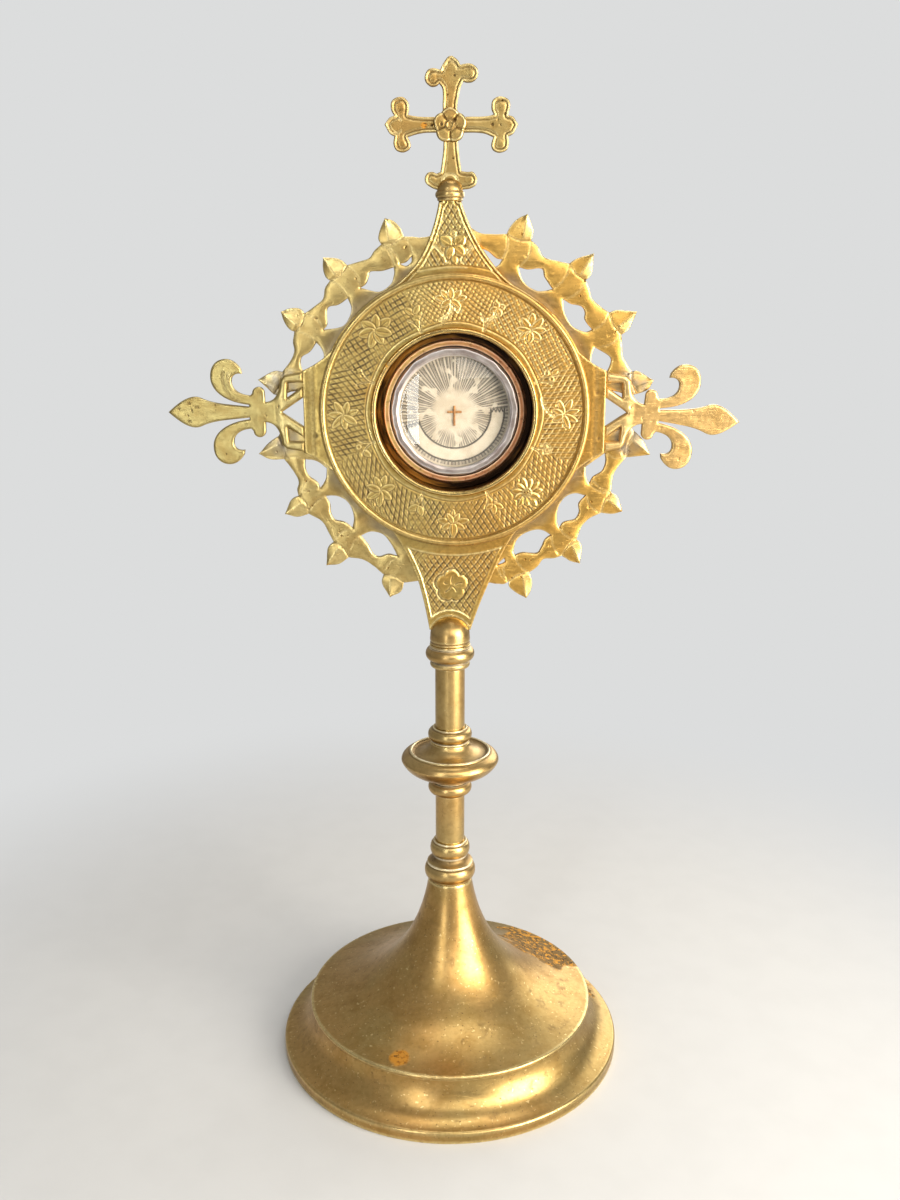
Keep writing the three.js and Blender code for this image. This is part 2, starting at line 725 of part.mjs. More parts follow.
function doorTab() {
  const root = caseRadius - 2.1;
  const end = [caseRadius + tabReach - tabHalf, 0];
  const outline = [[root, -tabHalf], ...arc(end, tabHalf, tabHalf, -90, 90, 8), [root, tabHalf]];
  return cutFromSheet(outline, doorBack, doorBack + 1.2);
}

// Leaf sprays

// Pointed window with curved sides, at an angle round the ring
function sprayWindow(angle, radius, halfLength, halfHeight, lean) {
  const side = (sign) => curve([-halfLength, -lean], [-halfLength / 3, sign * halfHeight * 1.3 - lean],
    [halfLength / 2, sign * halfHeight * 1.3 + lean], [halfLength, lean], 4);
  const points = [...side(1), ...side(-1).reverse().slice(1), [-halfLength, -lean]];
  return points.map(([along, out]) => {
    const [cos, sin] = polar(1, angle);
    return [(radius + out) * cos - along * sin, (radius + out) * sin + along * cos];
  });
}

function sprayOutline(place) {
  const neck = sprayNeck + place.out;
  const lobe = sprayLobe + place.out;
  const tip = budTip + place.out;
  const start = firstBud + place.turn;
  const root = [polar(sprayInner + 1.5, start + 3), polar(sprayInner + 6, start - 4)];
  const outline = [...root, polar(neck, start - 6)];
  for (let i = 0; i < budCount; i++) {
    const angle = start + i * budPitch;
    outline.push(
      polar(lobe - 1.0, angle - 5.0), polar(lobe, angle - 3.3), polar(lobe + 3.4, angle - 2.2),
      polar(tip, angle), polar(lobe + 3.4, angle + 2.2), polar(lobe, angle + 3.3),
      polar(lobe - 1.0, angle + 5.0));
    if (i < budCount - 1) {
      outline.push(polar(neck, angle + budPitch / 2 - 1.6), polar(neck, angle + budPitch / 2 + 1.6));
    }
  }
  outline.push([sprayEndHalf, sprayEnd + place.out]);
  outline.push(...arc([0, 0], sprayInner, sprayInner, 79, start + 7, 12));
  return outline;
}

function spray(place) {
  const set = (points) => points.map(([x, z]) => [place.x * x, place.z * z]);
  const radius = windowRadius + place.out;
  const windows = [];
  for (let i = 0; i < budCount - 1; i++) {
    const angle = firstBud + place.turn + (i + 0.5) * budPitch;
    windows.push(sprayWindow(angle, radius, windowHalfLength, windowHalfHeight, 0.6));
  }
  windows.push(sprayWindow(place.lastWindow, radius + 1, windowHalfLength / 3, windowHalfHeight / 1.7, 0.3));
  return cutFromSheet(set(sprayOutline(place)), plateBack, plateBack + sprayThickness, windows.map(set));
}

// Fleur-de-lis with the struts that join it to the wing

function fleurOutline() {
  const half = [
    [0, 4.6], [0, 8.2], [5.2, 4.6], [4.9, 9.2], [0, 9.4],
    [0, 12.6], [5.8, 11.6], [7.2, 10.2],
    ...curve([7.2, 10.2], [7.5, 6.4], [8.8, 3.3], [12.2, 3.15], 4),
    ...arc([14.2, 6.0], 1.95, 1.95, 180, 0, 6),
    ...curve([16.15, 5.2], [19.4, 5.2], [22.6, 6.6], [22.6, 9.6], 5),
    ...curve([22.6, 9.6], [22.6, 11.6], [21.1, 12.3], [19.2, 12.0], 4),
    ...curve([19.1, 12.8], [20.5, 15.6], [22.5, 16.6], [24.2, 16.6], 4),
    ...curve([24.2, 16.6], [27.4, 16.6], [29.2, 14.2], [29.2, 11.0], 5),
    ...curve([29.2, 11.0], [29.2, 7.2], [26.0, 3.4], [17.3, 2.3], 6),
    [17.3, 1.7],
    ...curve([17.3, 1.7], [23.9, 2.4], [28.4, 2.6], [fleurLength - 10.9, 4.2], 4),
    ...curve([fleurLength - 10.9, 4.2], [fleurLength - 8.3, 5.6], [fleurLength - 5.3, 4.9],
      [fleurLength, 0], 6),
  ];
  return [[6.9, 0], ...half, ...half.slice(0, -1).reverse().map(([x, z]) => [x, -z])];
}

function fleur(side, droop) {
  const bend = ([x, z]) => {
    if (x <= bendStart) return [x, z];
    const [cos, sin] = polar(1, -droop * Math.min(1, (x - bendStart) / 3));
    return [bendStart + (x - bendStart) * cos - z * sin, (x - bendStart) * sin + z * cos];
  };
  const outline = fleurOutline().map(bend).map(([x, z]) => [side * (wingReach + x), z]);
  return cutFromSheet(outline, plateFront, plateBack);
}

// Finial

function finialBall() {
  const body = turned([
    [0, 0], [ballRadius - 0.9, 0], [ballRadius - 0.5, 0.3], [ballRadius - 0.5, 1.0], [ballRadius - 0.8, 1.3],
    ...arc([ballRadius - 0.5, 2.5], 0.5, 1.1, -90, 90, 4),
    ...arc([0, 3.7], ballRadius - 0.6, ballHeight - 3.7, 0, 90, 5),
  ], stemSteps);
  const lowerHalf = plateThickness / 2 + seat;
  const upperHalf = crossThickness / 2 + seat;
  const tongueHalf = tongue + seat;
  const tongueSlot = block(-tongueHalf, tongueHalf, -lowerHalf, lowerHalf, -beyond, tongueLength + seat);
  const footSlot = block(-ballRadius - beyond, ballRadius + beyond, -upperHalf, upperHalf,
    crossRise - footCut - seat, ballHeight + beyond);
  return body.subtract(tongueSlot).subtract(footSlot);
}

// One side of an arm, from the crossing to its tip, with a round lobe and a pointed end
function armSide(length) {
  const lobe = [length - 5.0, 5.2];
  return [
    [crossWaist, crossWaist],
    ...curve([crossWaist, crossWaist], [length - 12, crossWaist], [length - 9, crossWaist + 0.2],
      [length - 6.8, 3.5], 4),
    ...arc(lobe, lobeRadius, lobeRadius, 223, -50, 9),
    ...curve([length - 3.2, 3.2], [length - 1.9, 3.0], [length - 1.2, 1.3], [length, 0], 4),
  ];
}

// A whole arm, along its lower side and back; the next arm starts where it ends
function arm(length, cut = length) {
  const side = armSide(length).filter(([along]) => along <= cut);
  if (cut < length) side.push([cut, lobeRadius - 0.4]);
  const lower = side.map(([along, across]) => [along, -across]);
  const upper = side.slice(1, cut < length ? side.length : -1).reverse();
  return [...lower, ...upper];
}

function turnedBy(points, degrees) {
  const [cos, sin] = polar(1, degrees);
  return points.map(([x, z]) => [x * cos - z * sin, x * sin + z * cos]);
}

function finialCross() {
  const outline = [arm(sideArm), arm(topArm), arm(sideArm), arm(footArm, footCut)]
    .flatMap((points, i) => turnedBy(points, 90 * i));
  return cutFromSheet(outline, -crossThickness / 2, crossThickness / 2);
}

// Five round petals about a raised eye
function crossRosette() {
  const petals = 5;
  const steps = 30;
  const outline = [];
  for (let i = 0; i < steps; i++) {
    const angle = 360 * i / steps;
    const swell = Math.abs(Math.cos(THREE.MathUtils.degToRad((angle - 90) * petals / 2)));
    outline.push(polar(bossRadius * (0.86 + 0.14 * swell), angle));
  }
  const front = -crossThickness / 2 - bossThickness;
  return cutFromSheet(outline, front, -crossThickness / 2).add(
    pinAlongY(1.35, front - 0.5, front + 0.2, 0));
}

// Assembly

function group(x, y, z, members) {
  const result = new THREE.Group();
  result.position.set(x, y, z);
  result.add(...members);
  return result;
}

const base = group(0, 0, 0, [
  node('foot_ring', footRing(), brass),
  node('bell_foot', bellFoot(), brass),
  node('clamp_washer', clampWasher(), steel),
  node('tie_rod_nut', tieRodNut(), steel),
  node('tie_rod', tieRod(), steel),
]);

const stem = group(0, 0, 0, [
  node('lower_collar', lowerCollar(), brass),
  node('lower_tube', plainTube(lowerTubeZ, knopRingZ), brass),
  node('knop_lower_ring', knopLowerRing(), brass),
  node('knop_disc', knopDisc(), brass),
  node('knop_upper_ring', knopUpperRing(), brass),
  node('upper_tube', plainTube(upperTubeZ, upperCollarZ), brass),
  node('upper_collar', upperCollar(), brass),
  node('dome_socket', domeSocket(), brass),
  node('tail_pin', tailPin(), brass),
]);

const theca = group(0, 0, 0, [
  node('theca_carrier', thecaCarrier(), copper),
  node('theca_case', thecaCase(), silvered),
  node('theca_bezel', thecaBezel(), silvered),
  node('theca_glass', thecaGlass(), glass),
  node('paper_card', paperCard(), paper),
  node('paper_banner', paperBanner(), paper),
  node('relic_cross', relicCross(), wood),
  node('backing_pad', backingPad(), paper),
  node('theca_lid', thecaLid(), silvered),
  node('wax_seal', waxSeal(), wax),
]);

theca.rotation.y = -THREE.MathUtils.degToRad(thecaTurn);

const door = group(0, 0, 0, [
  node('rear_door', rearDoor(), brass),
  node('door_spring', doorSpring(), brass),
  node('door_tab', doorTab(), brass),
]);

const head = group(headShift, 0, headZ, [
  node('head_plate', headPlate(), brass),
  node('drum_wall', drumWallRing(), brass),
  node('face_ring', faceRing(), brass),
  node('bead_rim', beadRim(), brass),
  node('bezel', bezelRing(), polished),
  node('well_tube', wellTube(), polished),
  node('stop_ring', stopRing(), brass),
  node('retaining_ring', retainingRing(), brass),
  node('rear_case', rearCase(), brass),
  node('case_hinge', caseHinge(), brass),
  node('hinge_pin', hingePin(), steel),
  node('wreath_upper_right', spray(upperRight), castBrass),
  node('wreath_upper_left', spray(upperLeft), castBrass),
  node('wreath_lower_right', spray(lowerRight), castBrass),
  node('wreath_lower_left', spray(lowerLeft), castBrass),
  node('fleur_right', fleur(1, fleurDroop), castBrass),
  node('fleur_left', fleur(-1, 0), castBrass),
  theca,
  door,
]);

const finial = group(0, 0, ballZ, [
  node('finial_ball', finialBall(), brass),
  group(0, 0, crossRise, [
    node('finial_cross', finialCross(), castBrass),
    node('cross_rosette', crossRosette(), castBrass),
  ]),
]);

export default group(0, 0, 0, [base, stem, head, finial]);
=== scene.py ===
# Looks of a brass altar reliquary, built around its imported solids.
# Sizes are in millimetres, x to the right, z up, the front facing -y.
# Each mesh is scaled to metres as it is made.
import math

import bpy
import numpy as np
from mathutils import Matrix, Vector
from mathutils.geometry import delaunay_2d_cdt


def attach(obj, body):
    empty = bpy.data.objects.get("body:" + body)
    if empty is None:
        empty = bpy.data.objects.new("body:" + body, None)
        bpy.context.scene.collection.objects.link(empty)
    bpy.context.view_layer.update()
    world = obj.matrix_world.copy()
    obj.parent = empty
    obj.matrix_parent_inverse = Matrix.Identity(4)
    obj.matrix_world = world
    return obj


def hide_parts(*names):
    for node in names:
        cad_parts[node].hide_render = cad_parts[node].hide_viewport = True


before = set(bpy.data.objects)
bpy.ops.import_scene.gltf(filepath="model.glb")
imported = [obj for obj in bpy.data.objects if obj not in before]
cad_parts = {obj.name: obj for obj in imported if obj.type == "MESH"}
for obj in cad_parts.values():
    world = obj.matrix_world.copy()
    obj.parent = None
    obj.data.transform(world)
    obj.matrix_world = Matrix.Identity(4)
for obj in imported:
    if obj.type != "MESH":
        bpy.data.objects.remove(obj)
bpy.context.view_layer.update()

MM = 0.001

# Fits and sheet
SEAT = 0.15
SHEET = 1.4

# Foot and trumpet
FOOT_RADIUS = 59.8
FOOT_RIM = 3.6
FOOT_SHOULDER = 48.9
FOOT_HEIGHT = 16.2
FOOT_LEDGE = 3.6
PLATE_RADIUS = 50.0
PLATE_EDGE = 1.2
TRUMPET_RISE = 45.0
TRUMPET_TOP = 7.6

# Stem
ROD_HOLE = 2.2
TUBE_RADIUS = 5.0
COLLAR_HEIGHT = 14.6
COLLAR_BEAD = 8.9
COLLAR_TOP_BEAD = 6.9
LOWER_TUBE = 17.6
KNOP_RING_HEIGHT = 6.4
KNOP_RING_BEAD = 7.5
KNOP_HEIGHT = 12.5
KNOP_RADIUS = 16.7
KNOP_LINE = 13.4
TOP_RING_HEIGHT = 5.5
UPPER_TUBE = 21.5
UPPER_COLLAR_HEIGHT = 8.0
UPPER_COLLAR_BEAD = 8.2
DOME_RADIUS = 6.7
DOME_SKIRT = 2.9
DOME_FLOOR = 2.1
PIN_RADIUS = 0.7
PIN_HEIGHT = 4.0

# Head plate
HEAD_RISE = 76.9
HEAD_SHIFT = 1.4
SHIFT_TAPER = 18.0
PLATE_THICKNESS = 2.0
DISC_RADIUS = 43.2
WING_REACH = 47.9
WING_HALF = 13.0
WING_ROOT = 26
PANEL_RISE = 63.7
PANEL_TOP = 3.4
PANEL_ROOT = 64.5
TAIL_ROOT = 62.0
TAIL_DROP = 71.9
TONGUE = 2.6
TONGUE_LENGTH = 2.0

# Drum, ring and well
DRUM_RADIUS = 41.6
DRUM_WALL = 1.6
DRUM_STEP = 3.0
RING_THICKNESS = 1.2
BEAD_STAND = 1.1
BEAD_LAP = 1.0
BEAD_HEIGHT = 1.0
BEZEL_WIDTH = 1.7
BEZEL_HEIGHT = 1.4
WELL_RADIUS = 24.75
WELL_WALL = 0.8
CASE_RADIUS = 30.6
CASE_DEPTH = 10.0
CASE_WALL = 1.1

# Theca
CARRIER_NOSE = 22.6
CARRIER_NOSE_LENGTH = 2.2
CARRIER_FLANGE = 2.5
THECA_TURN = 5
THECA_RADIUS = 20.4
THECA_DEPTH = 7.4
LID_THICKNESS = 0.9
LID_RADIUS = 22.2
SIGHT_RADIUS = 17.6
GLASS_SEAT = 19.3
GLASS_FRONT = 0.2
GLASS_BACK = 1.2
GLASS_RISE = 1.9
CARD_FRONT = 3.1
SEAL_RADIUS = 5.5
SEAL_THICKNESS = 0.9

# Banner on the card: radii, the angles of its two ends, and their teeth
BANNER_OUTER = 16.0
BANNER_INNER = 11.3
BANNER_START = -172
BANNER_END = 2
BANNER_TEETH = 4
TOOTH_TURN = 7

# Leaf sprays
SPRAY_THICKNESS = 1.6
SPRAY_INNER = 41.5

# Fleurs and finial
FLEUR_LENGTH = 43.0
FLEUR_DROOP = 4.5
BEND_START = 4.0
BALL_RADIUS = 4.5
BALL_HEIGHT = 6.7
CROSS_THICKNESS = 1.6
CROSS_RISE = 21.5
FOOT_CUT = 18.4
BOSS_RADIUS = 5.1
BOSS_THICKNESS = 0.9

# Heights and depths that follow
EDGE_TOP = FOOT_HEIGHT + PLATE_EDGE
TRUMPET_Z = EDGE_TOP + TRUMPET_RISE
LOWER_TUBE_Z = TRUMPET_Z + COLLAR_HEIGHT
KNOP_RING_Z = LOWER_TUBE_Z + LOWER_TUBE
KNOP_Z = KNOP_RING_Z + KNOP_RING_HEIGHT
TOP_RING_Z = KNOP_Z + KNOP_HEIGHT
UPPER_TUBE_Z = TOP_RING_Z + TOP_RING_HEIGHT
UPPER_COLLAR_Z = UPPER_TUBE_Z + UPPER_TUBE
DOME_Z = UPPER_COLLAR_Z + UPPER_COLLAR_HEIGHT
SLOT_Z = DOME_Z + DOME_FLOOR
HEAD_Z = DOME_Z + HEAD_RISE
BALL_Z = HEAD_Z + PANEL_RISE
PLATE_FRONT = -PLATE_THICKNESS / 2
PLATE_BACK = PLATE_THICKNESS / 2
RING_FACE = PLATE_FRONT - DRUM_STEP
RING_BACK = RING_FACE + RING_THICKNESS
CASE_BACK = PLATE_BACK + CASE_DEPTH
RING_INNER = WELL_RADIUS + WELL_WALL + SEAT
HEAD = (HEAD_SHIFT, 0, HEAD_Z)
CROSS_PLACE = (0, 0, BALL_Z + CROSS_RISE)

# Where the work on the ring and the plate begins and ends, about the ring's middle
FIELD_INNER = 28.0
FIELD_OUTER = 40.35
PANEL_CLEAR = 30
WING_CLEAR = 20
TIP_REACH = 61.0


# Points, as [across, along] pairs

def polar(radius, degrees):
    angle = math.radians(degrees)
    return [radius * math.cos(angle), radius * math.sin(angle)]


def arc(centre, radius_x, radius_y, start, end, steps):
    points = []
    for i in range(steps + 1):
        x, y = polar(1, start + (end - start) * i / steps)
        points.append([centre[0] + radius_x * x, centre[1] + radius_y * y])
    return points


def cubic(p, t):
    return (1 - t) ** 3 * p[0] + 3 * (1 - t) ** 2 * t * p[1] + 3 * (1 - t) * t * t * p[2] + t ** 3 * p[3]


def curve(start, control1, control2, end, steps):
    """A cubic curve without its first point, so that it can follow another stretch."""
    t = np.linspace(0, 1, steps + 1)[1:, None]
    return cubic([np.array(point, float) for point in (start, control1, control2, end)], t).tolist()


def bead(core, radius, low, high, steps=14):
    """Half-round bead on a turned piece, from the lower height to the upper one."""
    return arc([core, (low + high) / 2], radius - core, (high - low) / 2, -90, 90, steps)


def mirrored(points):
    return [[-x, z] for x, z in reversed(points)]


def spaced(points, gap):
    """The same closed line with no stretch longer than the gap."""
    result = []
    for start, end in zip(points, points[1:] + points[:1]):
        a, b = np.array(start, float), np.array(end, float)
        parts = max(1, math.ceil(np.linalg.norm(b - a) / gap))
        result += [(a + (b - a) * k / parts).tolist() for k in range(parts)]
    return result


def softened(points, radius):
    """Rounds every sharp corner off the axis of a closed line with a short curve."""
    result = []
    for i, point in enumerate(points):
        here = np.array(point, float)
        if here[0] == 0:
            result.append(here.tolist())
            continue
        back = np.array(points[i - 1], float) - here
        on = np.array(points[(i + 1) % len(points)], float) - here
        back_length, on_length = np.linalg.norm(back), np.linalg.norm(on)
        if back_length < 1e-6 or on_length < 1e-6:
            continue
        straight = -(back @ on) / (back_length * on_length)
        if straight > 0.94:
            result.append(here.tolist())
            continue
        cut = min(radius, 0.45 * back_length, 0.45 * on_length)
        start, end = here + back / back_length * cut, here + on / on_length * cut
        for t in (0, 1 / 3, 2 / 3, 1):
            result.append(((1 - t) ** 2 * start + 2 * t * (1 - t) * here + t * t * end).tolist())
    return result


def flowing(marked):
    """A smooth closed line through the points that stays sharp at those with a third value."""
    result = []
    count = len(marked)
    p = [np.array(point[:2], float) for point in marked]
    sharp = [len(point) > 2 for point in marked]
    for i in range(count):
        on = (i + 1) % count
        a, b = p[i], p[on]
        before = 2 * a - b if sharp[i] else p[i - 1]
        after = 2 * b - a if sharp[on] else p[(i + 2) % count]
        for t in (0, 0.25, 0.5, 0.75):
            here = 2 * a + (b - before) * t + (2 * before - 5 * a + 4 * b - after) * t * t
            result.append((0.5 * (here + (3 * a - before - 3 * b + after) * t ** 3)).tolist())
    return result


def smooth_step(value, low, high):
    t = np.clip((value - low) / (high - low), 0, 1)
    return t * t * (3 - 2 * t)


def bump_at(distance, width):
    return np.exp(-(distance / width) ** 2)


def everywhere(x, z):
    return np.full(x.shape, True)


def wander(x, z, pitch, seed):
    """Smooth irregular drift between -1 and 1, as of a hand-held tool."""
    draw = np.random.default_rng(seed)
    total = np.zeros_like(x, dtype=float)
    for _ in range(5):
        angle, phase = draw.uniform(0, 2 * math.pi, 2)
        wave = pitch * draw.uniform(0.6, 1.7)
        total += np.sin((x * math.cos(angle) + z * math.sin(angle)) * 2 * math.pi / wave + phase)
    return total / 5


# Meshes

def places_of(mesh):
    places = np.zeros(len(mesh.vertices) * 3)
    mesh.vertices.foreach_get("co", places)
    return places.reshape(-1, 3) / MM


def set_places(mesh, places):
    mesh.vertices.foreach_set("co", (places * MM).ravel())
    mesh.update()


def face_outwards(mesh):
    """Turns a closed mesh the right way round where it is inside out."""
    mesh.calc_loop_triangles()
    corners = np.zeros(len(mesh.loop_triangles) * 3, np.int32)
    mesh.loop_triangles.foreach_get("vertices", corners)
    a, b, c = places_of(mesh)[corners.reshape(-1, 3)].transpose(1, 0, 2)
    if np.sum(a * np.cross(b, c)) < 0:
        mesh.flip_normals()


def finish_piece(mesh, name, metal, nodes, body="stand", sharp=38):
    """Makes a piece of a closed mesh that is in place: smooth, with its finish, body and nodes."""
    face_outwards(mesh)
    mesh.shade_smooth()
    mesh.set_sharp_from_angle(angle=math.radians(sharp))
    mesh.materials.clear()
    mesh.materials.append(metal)
    mesh.name = name
    piece = bpy.data.objects.new(name, mesh)
    bpy.context.scene.collection.objects.link(piece)
    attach(piece, body)
    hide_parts(*nodes)
    return piece


def mark(mesh, marks):
    for name, values in marks.items():
        layer = mesh.attributes.get(name) or mesh.attributes.new(name, "FLOAT", "POINT")
        layer.data.foreach_set("value", np.clip(values, 0, 1).astype(np.float32))


def mesh_of(name, points, faces, marks=None):
    mesh = bpy.data.meshes.new(name)
    mesh.from_pydata((np.asarray(points, float) * MM).tolist(), [], faces)
    mesh.update()
    mark(mesh, marks or {})
    return mesh


def moved(mesh, place, turn=0):
    """Sets a mesh at its place in the stand, turned about the head's own axis."""
    mesh.transform(Matrix.Translation(Vector(place) * MM) @ Matrix.Rotation(math.radians(turn), 4, "Y"))
    return mesh


def grid_faces(rows, columns, wrap_rows, wrap_columns):
    """Four-sided faces between rows of points."""
    faces = []
    for i in range(rows if wrap_rows else rows - 1):
        for j in range(columns if wrap_columns else columns - 1):
            a, b = i * columns + j, i * columns + (j + 1) % columns
            c, d = (i + 1) % rows * columns + (j + 1) % columns, (i + 1) % rows * columns + j
            faces.append((a, b, c, d))
    return faces


def capped(points, rows, columns, first, last):
    """Rows of rings with their faces, closed by a point before the first row and one behind the last."""
    count, start = len(points), (rows - 1) * columns
    faces = grid_faces(rows, columns, False, True)
    for j in range(columns):
        after = (j + 1) % columns
        faces.append((count, after, j))
        faces.append((count + 1, start + j, start + after))
    return np.concatenate([points, [first, last]]), faces


# Node trees

class Bench:
    """Lays out nodes: an input is either another node's output or a plain value."""

    def __init__(self, tree):
        self.tree = tree

    def node(self, kind, inputs=None, **settings):
        made = self.tree.nodes.new(kind)
        for name, value in settings.items():
            setattr(made, name, value)
        for name, value in (inputs or {}).items():
            socket = self.open_socket(made, name)
            if isinstance(value, bpy.types.NodeSocket):
                self.tree.links.new(value, socket)
            else:
                socket.default_value = value
        return made

    @staticmethod
    def open_socket(made, name):
        if isinstance(name, int):
            return made.inputs[name]
        for socket in made.inputs:
            if socket.name == name and socket.enabled:
                return socket
        return made.inputs[name]

    def reckon(self, operation, a, b=0.0):
        return self.node("ShaderNodeMath", {0: a, 1: b}, operation=operation).outputs[0]

    def plus(self, a, b):
        return self.reckon("ADD", a, b)

    def less(self, a, b):
        return self.reckon("SUBTRACT", a, b)

    def times(self, a, b):
        return self.reckon("MULTIPLY", a, b)

    def whole(self, operation, a, b):
        return self.node("FunctionNodeIntegerMath", {0: a, 1: b}, operation=operation).outputs[0]


# Turning: a profile of [radius, height] points becomes a round piece

def build_lathe():
    tree = bpy.data.node_groups.new("Lathe", "GeometryNodeTree")
    face = tree.interface
    face.new_socket("Profile", in_out="INPUT", socket_type="NodeSocketGeometry")
    face.new_socket("Steps", in_out="INPUT", socket_type="NodeSocketInt")
    face.new_socket("Finish", in_out="INPUT", socket_type="NodeSocketMaterial")
    face.new_socket("Piece", in_out="OUTPUT", socket_type="NodeSocketGeometry")
    bench = Bench(tree)
    given = bench.node("NodeGroupInput")
    profile, steps = given.outputs["Profile"], given.outputs["Steps"]
    size = bench.node("GeometryNodeAttributeDomainSize", {"Geometry": profile}).outputs["Point Count"]
    columns = bench.whole("ADD", steps, 1)
    sheet = bench.node("GeometryNodeMeshGrid", {"Vertices X": size, "Vertices Y": columns})
    index = bench.node("GeometryNodeInputIndex").outputs[0]
    row = bench.whole("DIVIDE_FLOOR", index, columns)
    column = bench.whole("MODULO", index, columns)
    turn = bench.times(bench.reckon("DIVIDE", column, steps), 2 * math.pi)

    def sampled(kind, field):
        return bench.node("GeometryNodeSampleIndex", {"Geometry": profile, "Value": field, "Index": row},
                          data_type=kind).outputs[0]

    point = sampled("FLOAT_VECTOR", bench.node("GeometryNodeInputPosition").outputs[0])
    parts = bench.node("ShaderNodeSeparateXYZ", {0: point})
    across = bench.times(parts.outputs["X"], bench.reckon("COSINE", turn))
    away = bench.times(parts.outputs["X"], bench.reckon("SINE", turn))
    place = bench.node("ShaderNodeCombineXYZ", {0: across, 1: away, 2: parts.outputs["Z"]}).outputs[0]
    flat = sheet.outputs["Mesh"]
    body = bench.node("GeometryNodeSetPosition", {"Geometry": flat, "Position": place}).outputs[0]
    for name in ("tarnish_and_shade", "wear_and_highlight", "highlight_line"):
        field = bench.node("GeometryNodeInputNamedAttribute", {"Name": name}, data_type="FLOAT").outputs[0]
        body = bench.node("GeometryNodeStoreNamedAttribute", {
            "Geometry": body, "Name": name, "Value": sampled("FLOAT", field)}, data_type="FLOAT",
            domain="POINT").outputs[0]
    body = bench.node("GeometryNodeMergeByDistance", {"Geometry": body, "Distance": 1e-6}).outputs[0]
    body = bench.node("GeometryNodeRealizeInstances", {"Geometry": body}).outputs[0]
    finish = given.outputs["Finish"]
    body = bench.node("GeometryNodeSetMaterial", {"Geometry": body, "Material": finish}).outputs[0]
    bench.node("NodeGroupOutput", {"Piece": body})
    return tree


def evaluated(geometry, tree, settings):
    """The plain mesh that a node tree makes from some geometry."""
    holder = bpy.data.objects.new("work", geometry)
    bpy.context.scene.collection.objects.link(holder)
    modifier = holder.modifiers.new("work", "NODES")
    modifier.node_group = tree
    names = {item.name: item.identifier for item in tree.interface.items_tree if item.in_out == "INPUT"}
    for name, value in settings.items():
        modifier[names[name]] = value
    ready = holder.evaluated_get(bpy.context.evaluated_depsgraph_get())
    mesh = bpy.data.meshes.new_from_object(ready)
    bpy.data.objects.remove(holder)
    return mesh


def hollows(profile):
    """How deep each point of a closed profile lies in a hollow, and how far it stands out at an edge."""
    p = np.array(profile, float)
    nxt, prv = np.roll(p, -1, 0), np.roll(p, 1, 0)
    area = np.sum(p[:, 0] * nxt[:, 1] - nxt[:, 0] * p[:, 1])
    along = nxt - prv
    along /= np.maximum(np.linalg.norm(along, axis=1, keepdims=True), 1e-9)
    out = np.stack([along[:, 1], -along[:, 0]], 1) * (1 if area > 0 else -1)
    reach = p[None, :, :] - p[:, None, :]
    length = np.linalg.norm(reach, axis=2)
    rise = np.einsum("ijk,ik->ij", reach, out) / np.maximum(length, 1e-9)
    ahead = np.einsum("ijk,ik->ij", reach, along) > 0
    near = (length < 2.6) & (length > 0.05)
    before = np.where(near & ~ahead, rise, 0).max(1)
    after = np.where(near & ahead, rise, 0).max(1)
    close = (length < 0.6) & (length > 0.05)
    edge = -np.where(close, rise, 0).sum(1) / np.maximum(close.sum(1), 1)
    return np.clip(0.9 * (before + after) - 0.25, 0, 1), np.clip(3.2 * edge - 0.35, 0, 1)


def turned(name, profile, metal, slot, nodes, steps=128, body="stand", about_y=False, place=(0, 0, 0), turn=0,
           corner=0.22, gap=0.9, sharp=38, keep=False, pale_lines=()):
    """A round piece from its closed profile, about the stem's axis or, for the head, about y.
    Pale lines are painted as highlights at the listed points of the profile."""
    line = spaced(softened(profile, corner), gap)
    tarnish_and_shade, wear_and_highlight = hollows(line)
    highlight_line = np.zeros_like(tarnish_and_shade)
    for spot in pale_lines:
        near_line = np.exp(-(np.linalg.norm(np.array(line) - np.array(spot), axis=1) / 0.42) ** 4)
        highlight_line = np.maximum(highlight_line, near_line)
    line.append(line[0])
    outline = bpy.data.meshes.new("profile")
    edges = [(i, i + 1) for i in range(len(line) - 1)]
    outline.from_pydata([(r * MM, 0, h * MM) for r, h in line], edges, [])
    marks = {"tarnish_and_shade": tarnish_and_shade, "wear_and_highlight": wear_and_highlight, "highlight_line": highlight_line}
    mark(outline, {key: np.append(values, values[0]) for key, values in marks.items()})
    mesh = evaluated(outline, lathe, {"Steps": steps, "Finish": metal})
    if about_y:
        mesh.transform(Matrix.Rotation(math.radians(-90), 4, "X"))
        moved(mesh, place, turn)
    if keep:
        return mesh
    return finish_piece(mesh, name, metal, nodes, body, sharp)


# Relief: a flat piece whose front follows a form

def inside(points, outline):
    """Which points lie within a closed outline."""
    x, z = points[:, 0], points[:, 1]
    result = np.zeros(len(points), bool)
    for (x0, z0), (x1, z1) in zip(outline, outline[1:] + outline[:1]):
        if z0 == z1:
            continue
        crosses = (z0 > z) != (z1 > z)
        result ^= crosses & (x < (x1 - x0) * (z - z0) / (z1 - z0) + x0)
    return result


def edge_distance(points, outlines):
    """Distance from each point to the nearest of the closed outlines."""
    best = np.full(len(points), 1e9)
    for outline in outlines:
        for a, b in zip(outline, outline[1:] + outline[:1]):
            best = np.minimum(best, segment_distance(points, a, b))
    return best


def segment_distance(points, a, b):
    a, b = np.array(a, float), np.array(b, float)
    span = b - a
    t = np.clip((points - a) @ span / max(span @ span, 1e-12), 0, 1)
    return np.linalg.norm(points - a - t[:, None] * span, axis=1)


